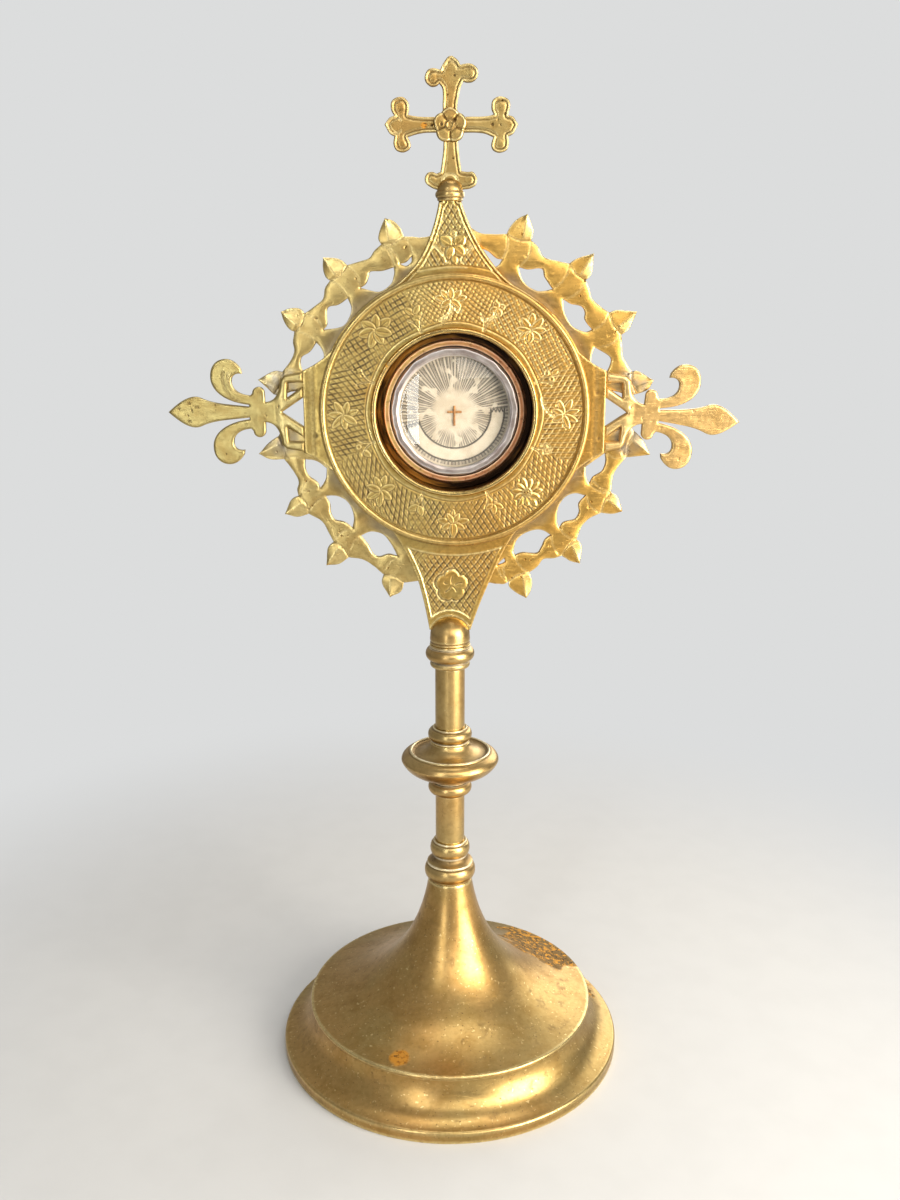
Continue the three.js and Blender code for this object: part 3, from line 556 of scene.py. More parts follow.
def inset_points(outline, distance, outlines):
    """Points along an outline at a distance inside it."""
    p = np.array(outline)
    along = np.roll(p, -1, 0) - np.roll(p, 1, 0)
    along /= np.maximum(np.linalg.norm(along, axis=1, keepdims=True), 1e-9)
    side = np.stack([-along[:, 1], along[:, 0]], 1)
    found = []
    for sign in (1, -1):
        moved_points = p + side * sign * distance
        good = edge_distance(moved_points, outlines) > distance * 0.94
        found.append(moved_points[good])
    return np.concatenate(found)


def relief(name, outline, holes, areas, front, back, form, rounding):
    """A plate in the head's plane. Areas are [gap, where] pairs that say how close its points lie.
    form(x, z, edge) gives each front point's height and its marks; the back is rounded at its edges."""
    outlines = [outline] + holes
    rim = [np.array(o) for o in outlines]
    clouds = [inset_points(o, rounding * share, outlines) for o in outlines for share in (0.15, 0.5, 1.0)]
    low, high = rim[0].min(0), rim[0].max(0)
    for gap, where in areas:
        xs, zs = np.meshgrid(np.arange(low[0], high[0], gap), np.arange(low[1], high[1], gap))
        cloud = np.stack([xs.ravel(), zs.ravel()], 1)
        cloud[:, 0] += (np.round((cloud[:, 1] - low[1]) / gap) % 2) * gap / 2
        clouds.append(cloud[where(cloud[:, 0], cloud[:, 1])])
    cloud = np.concatenate(clouds)
    cloud = cloud[inside(cloud, outline)]
    for hole in holes:
        cloud = cloud[~inside(cloud, hole)]
    far = edge_distance(cloud, outlines) / rounding
    on_edge = (np.abs(far - 1) < 0.07) | (np.abs(far - 0.5) < 0.04) | (np.abs(far - 0.15) < 0.02)
    cloud = cloud[(far > 1.35) | on_edge]
    points, edges = [], []
    for line in rim:
        start = len(points)
        points += line.tolist()
        edges += [(start + i, start + (i + 1) % len(line)) for i in range(len(line))]
    points += cloud.tolist()
    flat, _, triangles, _, _, _ = delaunay_2d_cdt([Vector(p) for p in points], edges, [], 0, 1e-5)
    flat = np.array([(p[0], p[1]) for p in flat])
    triangles = np.array(triangles)
    middles = flat[triangles].mean(1)
    kept = inside(middles, outline)
    for hole in holes:
        kept &= ~inside(middles, hole)
    triangles = triangles[kept]
    used = np.unique(triangles)
    renumber = np.full(len(flat), -1)
    renumber[used] = np.arange(len(used))
    flat, triangles = flat[used], renumber[triangles]
    edge = edge_distance(flat, outlines)
    edge[edge < 1e-4] = 0
    round_off = rounding * (1 - np.sqrt(np.clip(1 - (1 - np.clip(edge / rounding, 0, 1)) ** 2, 0, 1)))
    height, marks = form(flat[:, 0], flat[:, 1], edge)
    count = len(flat)
    top = np.stack([flat[:, 0], front - height + round_off, flat[:, 1]], 1)
    under = np.stack([flat[:, 0], back - 0.6 * round_off, flat[:, 1]], 1)
    sides = np.concatenate([triangles[:, [0, 1]], triangles[:, [1, 2]], triangles[:, [2, 0]]])
    key = np.sort(sides, 1)
    _, first, times = np.unique(key[:, 0] * count + key[:, 1], return_index=True, return_counts=True)
    border = sides[first[times == 1]]
    faces = triangles.tolist() + (triangles[:, ::-1] + count).tolist()
    faces += [(b, a, a + count, b + count) for a, b in border.tolist()]
    both = {key: np.concatenate([values, values * 0.25]) for key, values in marks.items()}
    return mesh_of(name, np.concatenate([top, under]), faces, both)


# Graving: what punches and gravers leave on a face

class Graving:
    """Height of a worked face at given points, with its dark marks, patina and painted shade, and its painted
    highlights.
    """

    def __init__(self, x, z):
        self.x, self.z = x, z
        self.height = np.zeros_like(x)
        self.tarnish_and_shade = np.zeros_like(x)
        self.wear_and_highlight = np.zeros_like(x)

    # Patina in the cuts, and painted shade where a caller paints it.
    def darken(self, values):
        self.tarnish_and_shade = np.maximum(self.tarnish_and_shade, values)

    # Painted highlights.
    def brighten(self, values):
        self.wear_and_highlight = np.maximum(self.wear_and_highlight, values)

    def clear(self, within):
        """Wipes off what was cut before, where a motif stands."""
        self.height = self.height * (1 - within)
        self.tarnish_and_shade *= 1 - within
        self.wear_and_highlight *= 1 - within

    def cut(self, points, width, depth, dark, bright):
        """A stroke along a line of points, with a painted highlight on its lip."""
        p = np.array(points, float)
        low, high = p.min(0) - 4 * width, p.max(0) + 4 * width
        near = (self.x > low[0]) & (self.x < high[0]) & (self.z > low[1]) & (self.z < high[1])
        where = np.nonzero(near)
        here = np.stack([self.x[where], self.z[where]], 1)
        if not len(here):
            return
        distance = np.full(len(here), 1e9)
        for a, b in zip(p[:-1], p[1:]):
            distance = np.minimum(distance, segment_distance(here, a, b))
        groove = bump_at(distance, width)
        lip = bump_at(distance - 1.5 * width, 0.6 * width)
        self.height[where] -= depth * groove
        self.tarnish_and_shade[where] = np.maximum(self.tarnish_and_shade[where] * (1 - bright * lip), dark * groove)
        self.wear_and_highlight[where] = np.maximum(self.wear_and_highlight[where], bright * (lip + 0.6 * groove))

    def hatch(self, mask, first, second, pitch, depth, dark, bright, seed):
        """Two families of crossing thin strokes, each with a painted highlight on the lip that a graver
        throws up.
        """
        for k, degrees in enumerate((first, second)):
            angle = math.radians(degrees)
            drift = 0.3 * wander(self.x, self.z, 11, seed + k)
            drift += 0.1 * wander(self.x, self.z, 3.5, seed + 40 + k)
            across = -self.x * math.sin(angle) + self.z * math.cos(angle) + drift
            off = ((across / pitch) % 1 - 0.5) * pitch
            press = np.clip(0.85 + 0.5 * wander(self.x, self.z, 8, seed + 80 + k), 0.2, 1.2) * mask
            self.height -= depth * bump_at(off, 0.25) * press
            self.darken(dark * np.clip(1.8 * bump_at(off, 0.25), 0, 1) * press)
            self.brighten(0.7 * bright * bump_at(off - 0.46, 0.15) * press)

    def petal(self, centre, degrees, length, width, bright, rise=0.0, vein=0.6, shape=0.85, line=0.7):
        """A leaf that starts at the centre, cleared of hatch, with its outline and its vein, and a painted
        highlight just inside its rim.
        """
        angle = math.radians(degrees)
        dx, dz = self.x - centre[0], self.z - centre[1]
        u = dx * math.cos(angle) + dz * math.sin(angle)
        v = -dx * math.sin(angle) + dz * math.cos(angle)
        t = np.clip(u / length, 1e-6, 1)
        half = 0.62 * width * np.sin(math.pi * t ** shape) ** 0.5
        edge = half - np.abs(v) - np.maximum(0, np.maximum(-u, u - length))
        within = smooth_step(edge, -0.25, 0.05)
        self.clear(within)
        self.height += rise * smooth_step(edge, 0, 0.9)
        outline = bump_at(edge + 0.12, 0.22)
        self.height -= 0.16 * outline
        self.darken(line * outline)
        self.brighten(bright * bump_at(edge - 0.3, 0.2))
        stroke = bump_at(v, 0.16) * (t < 0.82) * (t > 0.12) * within
        self.height -= 0.12 * stroke
        self.darken(vein * stroke)

    def petals(self, centre, leaves, **looks):
        """Leaves round a centre, each with its angle, length and width."""
        for degrees, length, width in leaves:
            self.petal(centre, degrees, length, width, **looks)

    def boss(self, centre, radius, rise, dark_eye=0.0):
        distance = np.hypot(self.x - centre[0], self.z - centre[1])
        within = smooth_step(radius - distance, 0, 0.3)
        self.height = self.height * (1 - within) + rise * within
        self.tarnish_and_shade *= 1 - within
        self.darken(0.6 * bump_at(distance - radius - 0.12, 0.18))
        # Painted highlight just inside the boss's rim.
        self.brighten(0.6 * bump_at(distance - radius + 0.25, 0.2))
        eye = bump_at(distance, radius * 0.4)
        self.height -= 0.3 * dark_eye * eye
        self.darken(dark_eye * eye)

    def pit(self, centre, radius, dark=0.95, depth=0.35):
        distance = np.hypot(self.x - centre[0], self.z - centre[1])
        hole = 1 - smooth_step(distance, 0.55 * radius, 1.15 * radius)
        self.height -= depth * hole
        self.wear_and_highlight *= 1 - hole
        self.darken(dark * hole)

    def marks(self):
        return {"tarnish_and_shade": self.tarnish_and_shade, "wear_and_highlight": self.wear_and_highlight}


# Finishes

def tone(code):
    """A colour written as on screen, as linear light."""
    parts = [int(code[i:i + 2], 16) / 255 for i in (0, 2, 4)]
    return tuple(c / 12.92 if c <= 0.04045 else ((c + 0.055) / 1.055) ** 2.4 for c in parts) + (1.0,)


class Recipe(Bench):
    """Builds one material on lengths in millimetres."""

    def __init__(self, name):
        self.material = bpy.data.materials.new(name)
        self.material.use_nodes = True
        super().__init__(self.material.node_tree)
        self.shader = self.tree.nodes["Principled BSDF"]
        where = self.node("ShaderNodeTexCoord").outputs["Object"]
        self.place = self.scaled(where, (1 / MM,) * 3)

    def noise(self, size, detail, rough=0.5, vector=None, twist=0.0):
        """Irregular values near a half, with patches of about the given size."""
        return self.node("ShaderNodeTexNoise", {
            "Vector": vector or self.place, "Scale": 1 / size, "Detail": detail, "Roughness": rough,
            "Distortion": twist}).outputs[0]

    def span(self, value, low, high, start=0.0, end=1.0):
        return self.node("ShaderNodeMapRange", {
            "Value": value, "From Min": low, "From Max": high, "To Min": start, "To Max": end},
            interpolation_type="SMOOTHSTEP").outputs[0]

    def mix(self, share, a, b):
        return self.node("ShaderNodeMix", {0: share, 6: a, 7: b}, data_type="RGBA").outputs[2]

    def mark(self, name):
        return self.node("ShaderNodeAttribute", attribute_name=name).outputs["Fac"]

    def largest(self, *values):
        result = values[0]
        for value in values[1:]:
            result = self.reckon("MAXIMUM", result, value)
        return result

    def scaled(self, vector, factors):
        return self.node("ShaderNodeVectorMath", {0: vector, 1: factors}, operation="MULTIPLY").outputs[0]

    def round_place(self, axis):
        """Distance from the axis, height along it and a little of the angle, for marks left by turning."""
        parts = self.node("ShaderNodeSeparateXYZ", {0: self.place})
        x, y, z = parts.outputs
        if axis == "y":
            x = self.less(x, HEAD_SHIFT)
            y, z = self.less(z, HEAD_Z), y
        radius = self.reckon("SQRT", self.plus(self.times(x, x), self.times(y, y)))
        angle = self.reckon("ARCTAN2", y, x)
        spread = self.times(angle, 1.2)
        return self.node("ShaderNodeCombineXYZ", {0: radius, 1: z, 2: spread}).outputs[0]

    def near(self, centre, radius, ragged):
        """1 at a point of the object and 0 beyond a ragged radius."""
        away = self.node("ShaderNodeVectorMath", {0: self.place, 1: centre}, operation="DISTANCE")
        away = away.outputs["Value"]
        wobble = self.times(self.less(self.noise(radius * 0.55, 3), 0.5), 2 * ragged)
        return self.span(self.plus(self.reckon("DIVIDE", away, radius), wobble), 1.0, 0.75)

    def bumps(self, height, depth):
        normal = self.node("ShaderNodeBump", {"Strength": 1.0, "Distance": depth * MM, "Height": height})
        self.tree.links.new(normal.outputs[0], self.shader.inputs["Normal"])

    def set(self, **inputs):
        for name, value in inputs.items():
            socket = self.shader.inputs[name.replace("_", " ")]
            if isinstance(value, bpy.types.NodeSocket):
                self.tree.links.new(value, socket)
            else:
                socket.default_value = value
        return self.material


def stained(r, colour, stains):
    """Stains on a colour, each a [centre, radius, crusted], and how far each point lies in one."""
    rust = 0.0
    for centre, radius, crusted in stains:
        under, over = ("5a431a", "cf9432") if crusted else ("c08427", "a3681a")
        share = r.near(centre, radius, 1.1 if crusted else 0.3)
        crust = r.times(share, r.span(r.noise(1.7, 4, 0.7), 0.52, 0.55))
        colour = r.mix(r.times(share, 0.7 if crusted else 0.9), colour, tone(under))
        colour = r.mix(crust, colour, tone(over))
        pinholes = r.times(share, r.span(r.noise(1.3, 2, 0.7, twist=0.6), 0.6, 0.62))
        colour = r.mix(pinholes, colour, tone("2f2210"))
        rust = r.reckon("MAXIMUM", rust, r.times(share, 0.8))
    return colour, rust


def tool_lines(r, grain, size):
    """Fine lines along x on flat work, or round the axis that a piece was turned on."""
    if grain == "flat":
        return r.noise(size * 2.2, 1, vector=r.scaled(r.place, (0.12, 1.0, 1.0)), twist=0.3)
    return r.noise(size * 1.3, 2, vector=r.round_place(grain))


def brass(name, warm, pale, rough, tarnished, grain, dark="4a3312", pitted=0.5, sides=0.0, stains=(),
          grain_size=0.22, hammered=1.0, specked=0.0):
    """Aged brass: drifting colour, clouds of tarnishing, brown patina in the hollows with painted shade, pale
    rubbed edges with painted highlights, pale lines painted as highlights, scratches and pits. Sides shifts
    the colour from pale on the left to warm on the right."""
    r = Recipe(name)
    x = r.node("ShaderNodeSeparateXYZ", {0: r.place}).outputs[0]
    drift = r.plus(r.noise(34, 3), r.times(x, -sides / 100))
    colour = r.mix(r.span(drift, 0.38, 0.62), tone(warm), tone(pale))
    cloud = r.noise(7.5, 6, 0.62)
    colour = r.mix(r.span(cloud, 0.42, 0.7, 0, 0.42), colour, tone("8a672c"))
    fine = r.noise(1.3, 3)
    colour = r.mix(r.span(fine, 0.38, 0.72, 0, 0.16 + 0.14 * hammered), colour, tone("6f5122"))
    blotch = r.times(r.span(r.noise(4.6, 3, twist=0.4), 0.58, 0.72), tarnished)
    speck = r.times(r.span(r.noise(0.8, 2), 0.68, 0.71), pitted)
    # Brown patina in the hollows and cuts, with the painted shade that the engraved faces carry.
    hollow = r.times(r.mark("tarnish_and_shade"), r.span(fine, 0.2, 0.7, 1.0, 0.8))
    dirt_and_shade = r.reckon("MINIMUM", r.plus(hollow, r.times(r.largest(blotch, speck), 0.8)), 0.97)
    colour = r.mix(dirt_and_shade, colour, tone(dark))
    # Painted highlights on lips, rims and edges, and the pale of rubbed edges on turned pieces.
    wear_and_highlight = r.times(r.mark("wear_and_highlight"), r.span(fine, 0.3, 0.75, 1.0, 0.45))
    colour = r.mix(r.times(wear_and_highlight, 0.85), colour, tone("f7e2a2"))
    colour = r.mix(r.mark("solder"), colour, tone("8d8373"))
    # Pale lines painted as highlights on turned pieces, less metallic so that they show in any light.
    highlight_line = r.times(r.mark("highlight_line"), r.span(cloud, 0.3, 0.6, 1.0, 0.35))
    colour = r.mix(highlight_line, colour, tone("f6e9c9"))
    pale_speck = r.times(r.span(r.noise(1.0, 2, twist=0.5), 0.68, 0.7), specked)
    colour = r.mix(pale_speck, colour, tone("ecd193"))
    colour, rust = stained(r, colour, stains)
    lines = tool_lines(r, grain, grain_size)
    scratch = r.span(r.noise(0.5, 1, vector=r.scaled(r.place, (0.09, 0.6, 1.3)), twist=1.5), 0.66, 0.72)
    worn = r.plus(r.times(lines, 0.16), rough - 0.08)
    worn = r.plus(worn, r.times(dirt_and_shade, 0.25))
    worn = r.plus(worn, r.times(wear_and_highlight, -0.1))
    worn = r.plus(worn, r.times(r.less(cloud, 0.5), 0.1 + 0.25 * hammered))
    worn = r.plus(worn, r.times(rust, 0.4))
    dull = r.times(r.largest(dirt_and_shade, rust, r.times(highlight_line, 1.6)), 0.45)
    height = r.plus(r.times(lines, 0.2), r.times(speck, -1.0))
    height = r.plus(height, r.times(scratch, -0.15 - 0.35 * hammered))
    height = r.plus(height, r.times(fine, 0.4 * hammered))
    height = r.plus(height, r.times(r.noise(2.6, 2), 0.9 * hammered))
    r.bumps(height, 0.05)
    return r.set(Base_Color=colour, Roughness=r.reckon("MAXIMUM", worn, 0.12), Metallic=r.less(1.0, dull))


def grey_metal(name, light, dark, rough):
    """Silvered or steel surface with cloudy wear."""
    r = Recipe(name)
    cloud = r.noise(6.0, 5, 0.6)
    fine = r.noise(0.6, 3)
    colour = r.mix(r.span(cloud, 0.35, 0.68), tone(light), tone(dark))
    colour = r.mix(r.times(r.mark("tarnish_and_shade"), 0.8), colour, tone("3a3228"))
    colour = r.mix(r.times(r.mark("wear_and_highlight"), 0.7), colour, tone("e8e4de"))
    r.bumps(r.plus(fine, cloud), 0.03)
    return r.set(Base_Color=colour, Metallic=0.9, Roughness=r.plus(r.times(fine, 0.2), rough - 0.1))


def copper_finish():
    r = Recipe("worn copper")
    x = r.node("ShaderNodeSeparateXYZ", {0: r.place}).outputs[0]
    drift = r.plus(r.noise(9, 4), r.times(x, 0.008))
    colour = r.mix(r.span(drift, 0.32, 0.6), tone("c9a05c"), tone("bd7c52"))
    dirt_and_shade = r.plus(r.mark("tarnish_and_shade"), r.span(r.noise(1.1, 5, 0.7), 0.58, 0.72, 0, 0.6))
    colour = r.mix(r.reckon("MINIMUM", dirt_and_shade, 0.9), colour, tone("4b2a18"))
    colour = r.mix(r.times(r.mark("wear_and_highlight"), 0.8), colour, tone("ffd9b0"))
    r.bumps(r.noise(0.8, 4), 0.04)
    return r.set(Base_Color=colour, Metallic=0.92, Roughness=r.span(r.noise(1.5, 3), 0.3, 0.7, 0.26, 0.44))


def well_shade_and_reflections():
    """Burnished wall of the well, painted nearly black as shade, with amber streaks that are painted
    reflections.
    """
    r = Recipe("well wall with painted shade and reflections")
    around = r.round_place("y")
    streak = r.noise(1.6, 3, 0.6, vector=r.scaled(around, (0.6, 1.4, 1.6)))
    # The left of the wall is painted lighter, as a reflection of the light on that side.
    left = r.times(r.node("ShaderNodeSeparateXYZ", {0: r.place}).outputs[0], -0.006)
    colour = r.mix(r.span(r.plus(streak, left), 0.42, 0.72), tone("241406"), tone("a06a26"))
    r.bumps(r.noise(0.3, 3, vector=around), 0.03)
    return r.set(Base_Color=colour, Metallic=0.85, Roughness=r.span(streak, 0.3, 0.7, 0.22, 0.4))


def card_finish(name, ink_colour, light, shade):
    """Printed card: warm paper with its fibres, and the ink that the mesh carries."""
    r = Recipe(name)
    paper = r.mix(r.span(r.noise(4.5, 5, 0.6), 0.35, 0.7), tone(light), tone(shade))
    fibre = r.noise(0.35, 3, 0.6, twist=1.0)
    paper = r.mix(r.span(fibre, 0.4, 0.8, 0, 0.25), paper, tone("b3a28c"))
    ink = r.times(r.mark("ink"), r.span(fibre, 0.25, 0.7, 1.0, 0.75))
    colour = r.mix(ink, paper, tone(ink_colour))
    r.bumps(fibre, 0.03)
    return r.set(Base_Color=colour, Roughness=0.85, Metallic=0.0)


def wood_finish():
    r = Recipe("relic wood")
    grain = r.noise(0.3, 4, vector=r.scaled(r.place, (1.0, 1.0, 0.25)))
    colour = r.mix(r.span(grain, 0.35, 0.65), tone("7a4a20"), tone("a5743c"))
    r.bumps(grain, 0.04)
    return r.set(Base_Color=colour, Roughness=0.7)


def wax_finish():
    r = Recipe("red sealing wax")
    cloud = r.noise(2.4, 4)
    colour = r.mix(r.span(cloud, 0.35, 0.7), tone("8e2018"), tone("5f120e"))
    r.bumps(r.noise(1.2, 4), 0.12)
    return r.set(Base_Color=colour, Roughness=r.span(cloud, 0.3, 0.7, 0.32, 0.5))


def glass_finish():
    """Clear glass that lets light through onto the card and mirrors less than real glass."""
    r = Recipe("domed glass")
    shadow = r.node("ShaderNodeLightPath").outputs["Is Shadow Ray"]
    clear = r.less(1.0, r.times(shadow, 0.94))
    return r.set(Base_Color=tone("fbfdfb"), Transmission_Weight=1.0, IOR=1.45, Alpha=clear, Roughness=0.0,
                 Specular_IOR_Level=0.07)


lathe = build_lathe()

foot_stains = (
    ((-16.4, -41.4, 17.6), 3.9, False),
    ((35.0, 27.0, 18.0), 19.0, True),
    ((53.0, 15.0, 8.0), 4.5, True),
)
spun = brass("spun brass", "bb955a", "b0945c", rough=0.33, tarnished=0.4, grain="z", pitted=0.8,
             stains=foot_stains, hammered=0.2, specked=0.7)
turned_metal = brass("turned brass", "c9a266", "bea26a", rough=0.31, tarnished=0.3, grain="z", pitted=0.45,
                     hammered=0.03)
pin_metal = brass("dark pin brass", "7a5a28", "644818", rough=0.45, tarnished=0.4, grain="y", hammered=0.1)
sheet_metal = brass("sheet brass", "c2954a", "b69b5e", rough=0.36, tarnished=0.3, grain="flat", sides=0.5)
drum_metal = brass("drum brass", "c4964a", "b99c5c", rough=0.33, tarnished=0.3, grain="y", sides=0.5)
graved = brass("engraved brass", "c89a4c", "b89e5c", dark="301f0a", rough=0.34, tarnished=0.16,
               grain="flat", pitted=0.25, sides=0.5)
bezel_stain = ((HEAD_SHIFT - 20.9, RING_FACE - BEZEL_HEIGHT, HEAD_Z + 15.2), 1.1, True)
polished = brass("polished bezel brass", "cfa052", "c6a860", rough=0.24, tarnished=0.3, grain="y", pitted=0.2,
                 stains=(bezel_stain,))
cast = brass("cast brass", "cca052", "b8a066", rough=0.36, tarnished=0.14, grain="flat", pitted=0.6,
             sides=0.6, grain_size=0.35, hammered=0.4)
pierced = brass("pierced cast brass", "d6b072", "a6945e", rough=0.36, tarnished=0.04, grain="flat",
                pitted=0.4, sides=0.5, grain_size=0.55, hammered=0.2)
cross_stain = ((-7.8, -0.9, BALL_Z + CROSS_RISE), 1.0, False)
cross_metal = brass("cross brass", "a47f45", "a08954", rough=0.38, tarnished=0.04, grain="flat", pitted=0.45,
                    grain_size=0.55, hammered=0.15, stains=(cross_stain,))
copper = copper_finish()
silvered = grey_metal("silvered ring", "b9ada5", "8f7f77", 0.34)
steel = grey_metal("old steel", "77787a", "55504a", 0.5)
well_wall_shaded = well_shade_and_reflections()
card = card_finish("printed card", "3d342b", light="bcae9b", shade="a99984")
banner_paper = card_finish("banner paper", "1e1814", light="bcae9b", shade="a99984")
pad_paper = card_finish("grey pad board", "5d5145", light="b3aba0", shade="948c80")
wood = wood_finish()
wax = wax_finish()
glass = glass_finish()


# Foot and trumpet

def foot_profile():
    rim_top = FOOT_RIM + 0.6
    cove = curve([FOOT_RADIUS - 1.2, rim_top], [FOOT_RADIUS - 6.3, rim_top + 1.1],
                 [FOOT_SHOULDER + 0.9, rim_top + 4.3], [FOOT_SHOULDER, FOOT_HEIGHT - 1.2], 22)
    inner = curve([FOOT_SHOULDER - SHEET, FOOT_HEIGHT - SHEET - 1.0], [FOOT_SHOULDER - 0.6, rim_top + 3.4],
                  [FOOT_RADIUS - 7.0, rim_top - 0.3], [FOOT_RADIUS - SHEET - 1.0, FOOT_RIM - SHEET], 10)
    return [[FOOT_RADIUS - 2.2, 0], [FOOT_RADIUS, 0], [FOOT_RADIUS, FOOT_RIM],
            [FOOT_RADIUS - 0.5, rim_top - 0.1], [FOOT_RADIUS - 1.2, rim_top], *cove,
            [FOOT_SHOULDER, FOOT_HEIGHT],
            [FOOT_SHOULDER - FOOT_LEDGE, FOOT_HEIGHT], [FOOT_SHOULDER - FOOT_LEDGE, FOOT_HEIGHT - SHEET],
            [FOOT_SHOULDER - SHEET, FOOT_HEIGHT - SHEET], [FOOT_SHOULDER - SHEET, FOOT_HEIGHT - SHEET - 1.0],
            *inner]


def trumpet_line(inset, steps):
    """The trumpet's outline from its top to the plate's edge, moved in by a wall's thickness where asked."""
    p = [np.array(v) for v in ((TRUMPET_TOP, TRUMPET_Z), (TRUMPET_TOP + 2.7, TRUMPET_Z - 17.3),
                               (TRUMPET_TOP + 11.4, EDGE_TOP + 4.7), (PLATE_RADIUS, EDGE_TOP))]
    t = np.linspace(0, 1, steps + 1)[:, None]
    along = (1 - t) ** 2 * (p[1] - p[0]) + 2 * (1 - t) * t * (p[2] - p[1]) + t * t * (p[3] - p[2])
    along /= np.linalg.norm(along, axis=1, keepdims=True)
    return (cubic(p, t) + inset * np.stack([along[:, 1], -along[:, 0]], 1)).tolist()


def bell_profile():
    outside = trumpet_line(0, 48)
    within = [p for p in reversed(trumpet_line(SHEET, 24)[1:-1]) if p[0] < FOOT_SHOULDER - FOOT_LEDGE]
    return [*outside, [PLATE_RADIUS + 0.25, EDGE_TOP - PLATE_EDGE / 2], [PLATE_RADIUS, FOOT_HEIGHT],
            [FOOT_SHOULDER - FOOT_LEDGE, FOOT_HEIGHT], *within,
            [TRUMPET_TOP - SHEET, TRUMPET_Z - SHEET], [ROD_HOLE, TRUMPET_Z - SHEET], [ROD_HOLE, TRUMPET_Z]]


turned("spun_foot", foot_profile(), spun, "spun_brass", ["foot_ring"], steps=224, gap=1.2, corner=0.3)
turned("trumpet_and_plate", bell_profile(), spun, "spun_brass", ["bell_foot"], steps=224, gap=1.2, corner=0.3)


# Stem

def collar_profile():
    low, high, cove_top = TRUMPET_Z + 0.6, TRUMPET_Z + 5.9, TRUMPET_Z + 8.9
    return [[ROD_HOLE, TRUMPET_Z], [TRUMPET_TOP - 0.2, TRUMPET_Z],
            *bead(TRUMPET_TOP - 0.3, COLLAR_BEAD, low, high),
            [COLLAR_BEAD - 0.9, high], [COLLAR_BEAD - 0.9, high + 0.7],
            *curve([COLLAR_BEAD - 1.1, high + 0.9], [COLLAR_BEAD - 2.2, high + 1.4],
                   [TUBE_RADIUS + 0.9, cove_top - 1.2], [TUBE_RADIUS + 0.9, cove_top], 9),
            *bead(TUBE_RADIUS + 0.9, COLLAR_TOP_BEAD, cove_top + 0.5, LOWER_TUBE_Z - 0.7),
            [TUBE_RADIUS + 0.8, LOWER_TUBE_Z], [ROD_HOLE, LOWER_TUBE_Z]]


def tube_profile(low, high):
    return [[ROD_HOLE, low], [TUBE_RADIUS, low], [TUBE_RADIUS, high], [ROD_HOLE, high]]


def knop_ring_profile():
    neck = TUBE_RADIUS + 1.2
    return [[ROD_HOLE, KNOP_RING_Z], [TUBE_RADIUS + 0.7, KNOP_RING_Z],
            *bead(TUBE_RADIUS + 0.8, KNOP_RING_BEAD, KNOP_RING_Z + 0.4, KNOP_RING_Z + 4.6),
            [neck, KNOP_RING_Z + 4.8], [neck + 0.6, KNOP_Z], [ROD_HOLE, KNOP_Z]]


def knop_profile():
    rim = KNOP_Z + 6.2
    return [[ROD_HOLE, KNOP_Z], [TUBE_RADIUS + 1.8, KNOP_Z],
            *curve([TUBE_RADIUS + 1.8, KNOP_Z], [KNOP_RADIUS - 5.0, KNOP_Z + 1.0],
                   [KNOP_RADIUS - 1.6, KNOP_Z + 2.6], [KNOP_RADIUS, rim], 16),
            *curve([KNOP_RADIUS, rim], [KNOP_RADIUS, rim + 1.6], [KNOP_LINE + 1.6, rim + 2.7],
                   [KNOP_LINE + 0.5, rim + 2.8], 10),
            *arc([KNOP_LINE, rim + 2.9], 0.55, 0.55, 0, 180, 8),
            *curve([KNOP_LINE - 0.6, rim + 2.6], [KNOP_LINE - 4.0, rim + 2.8],
                   [TUBE_RADIUS + 2.0, rim + 4.4], [TUBE_RADIUS + 1.6, TOP_RING_Z], 14),
            [ROD_HOLE, TOP_RING_Z]]


def knop_top_profile():
    return [[ROD_HOLE, TOP_RING_Z], [TUBE_RADIUS + 1.5, TOP_RING_Z], [TUBE_RADIUS + 1.5, TOP_RING_Z + 0.7],
            *bead(TUBE_RADIUS + 1.0, KNOP_RING_BEAD, TOP_RING_Z + 0.9, UPPER_TUBE_Z - 0.6),
            [TUBE_RADIUS + 0.9, UPPER_TUBE_Z], [ROD_HOLE, UPPER_TUBE_Z]]


def upper_collar_profile():
    return [[ROD_HOLE, UPPER_COLLAR_Z], [TUBE_RADIUS + 0.9, UPPER_COLLAR_Z],
            *bead(TUBE_RADIUS + 0.9, DOME_RADIUS, UPPER_COLLAR_Z + 0.1, UPPER_COLLAR_Z + 2.2, 9),
            *bead(TUBE_RADIUS + 1.2, UPPER_COLLAR_BEAD, UPPER_COLLAR_Z + 2.5, UPPER_COLLAR_Z + 7.0),
            [DOME_RADIUS + 0.1, UPPER_COLLAR_Z + 7.1], [DOME_RADIUS + 0.1, DOME_Z], [ROD_HOLE, DOME_Z]]


def stem_piece(name, profile, node, *pale_lines):
    turned(name, profile, turned_metal, "turned_brass", [node], steps=112, gap=0.45, corner=0.16,
           pale_lines=pale_lines)


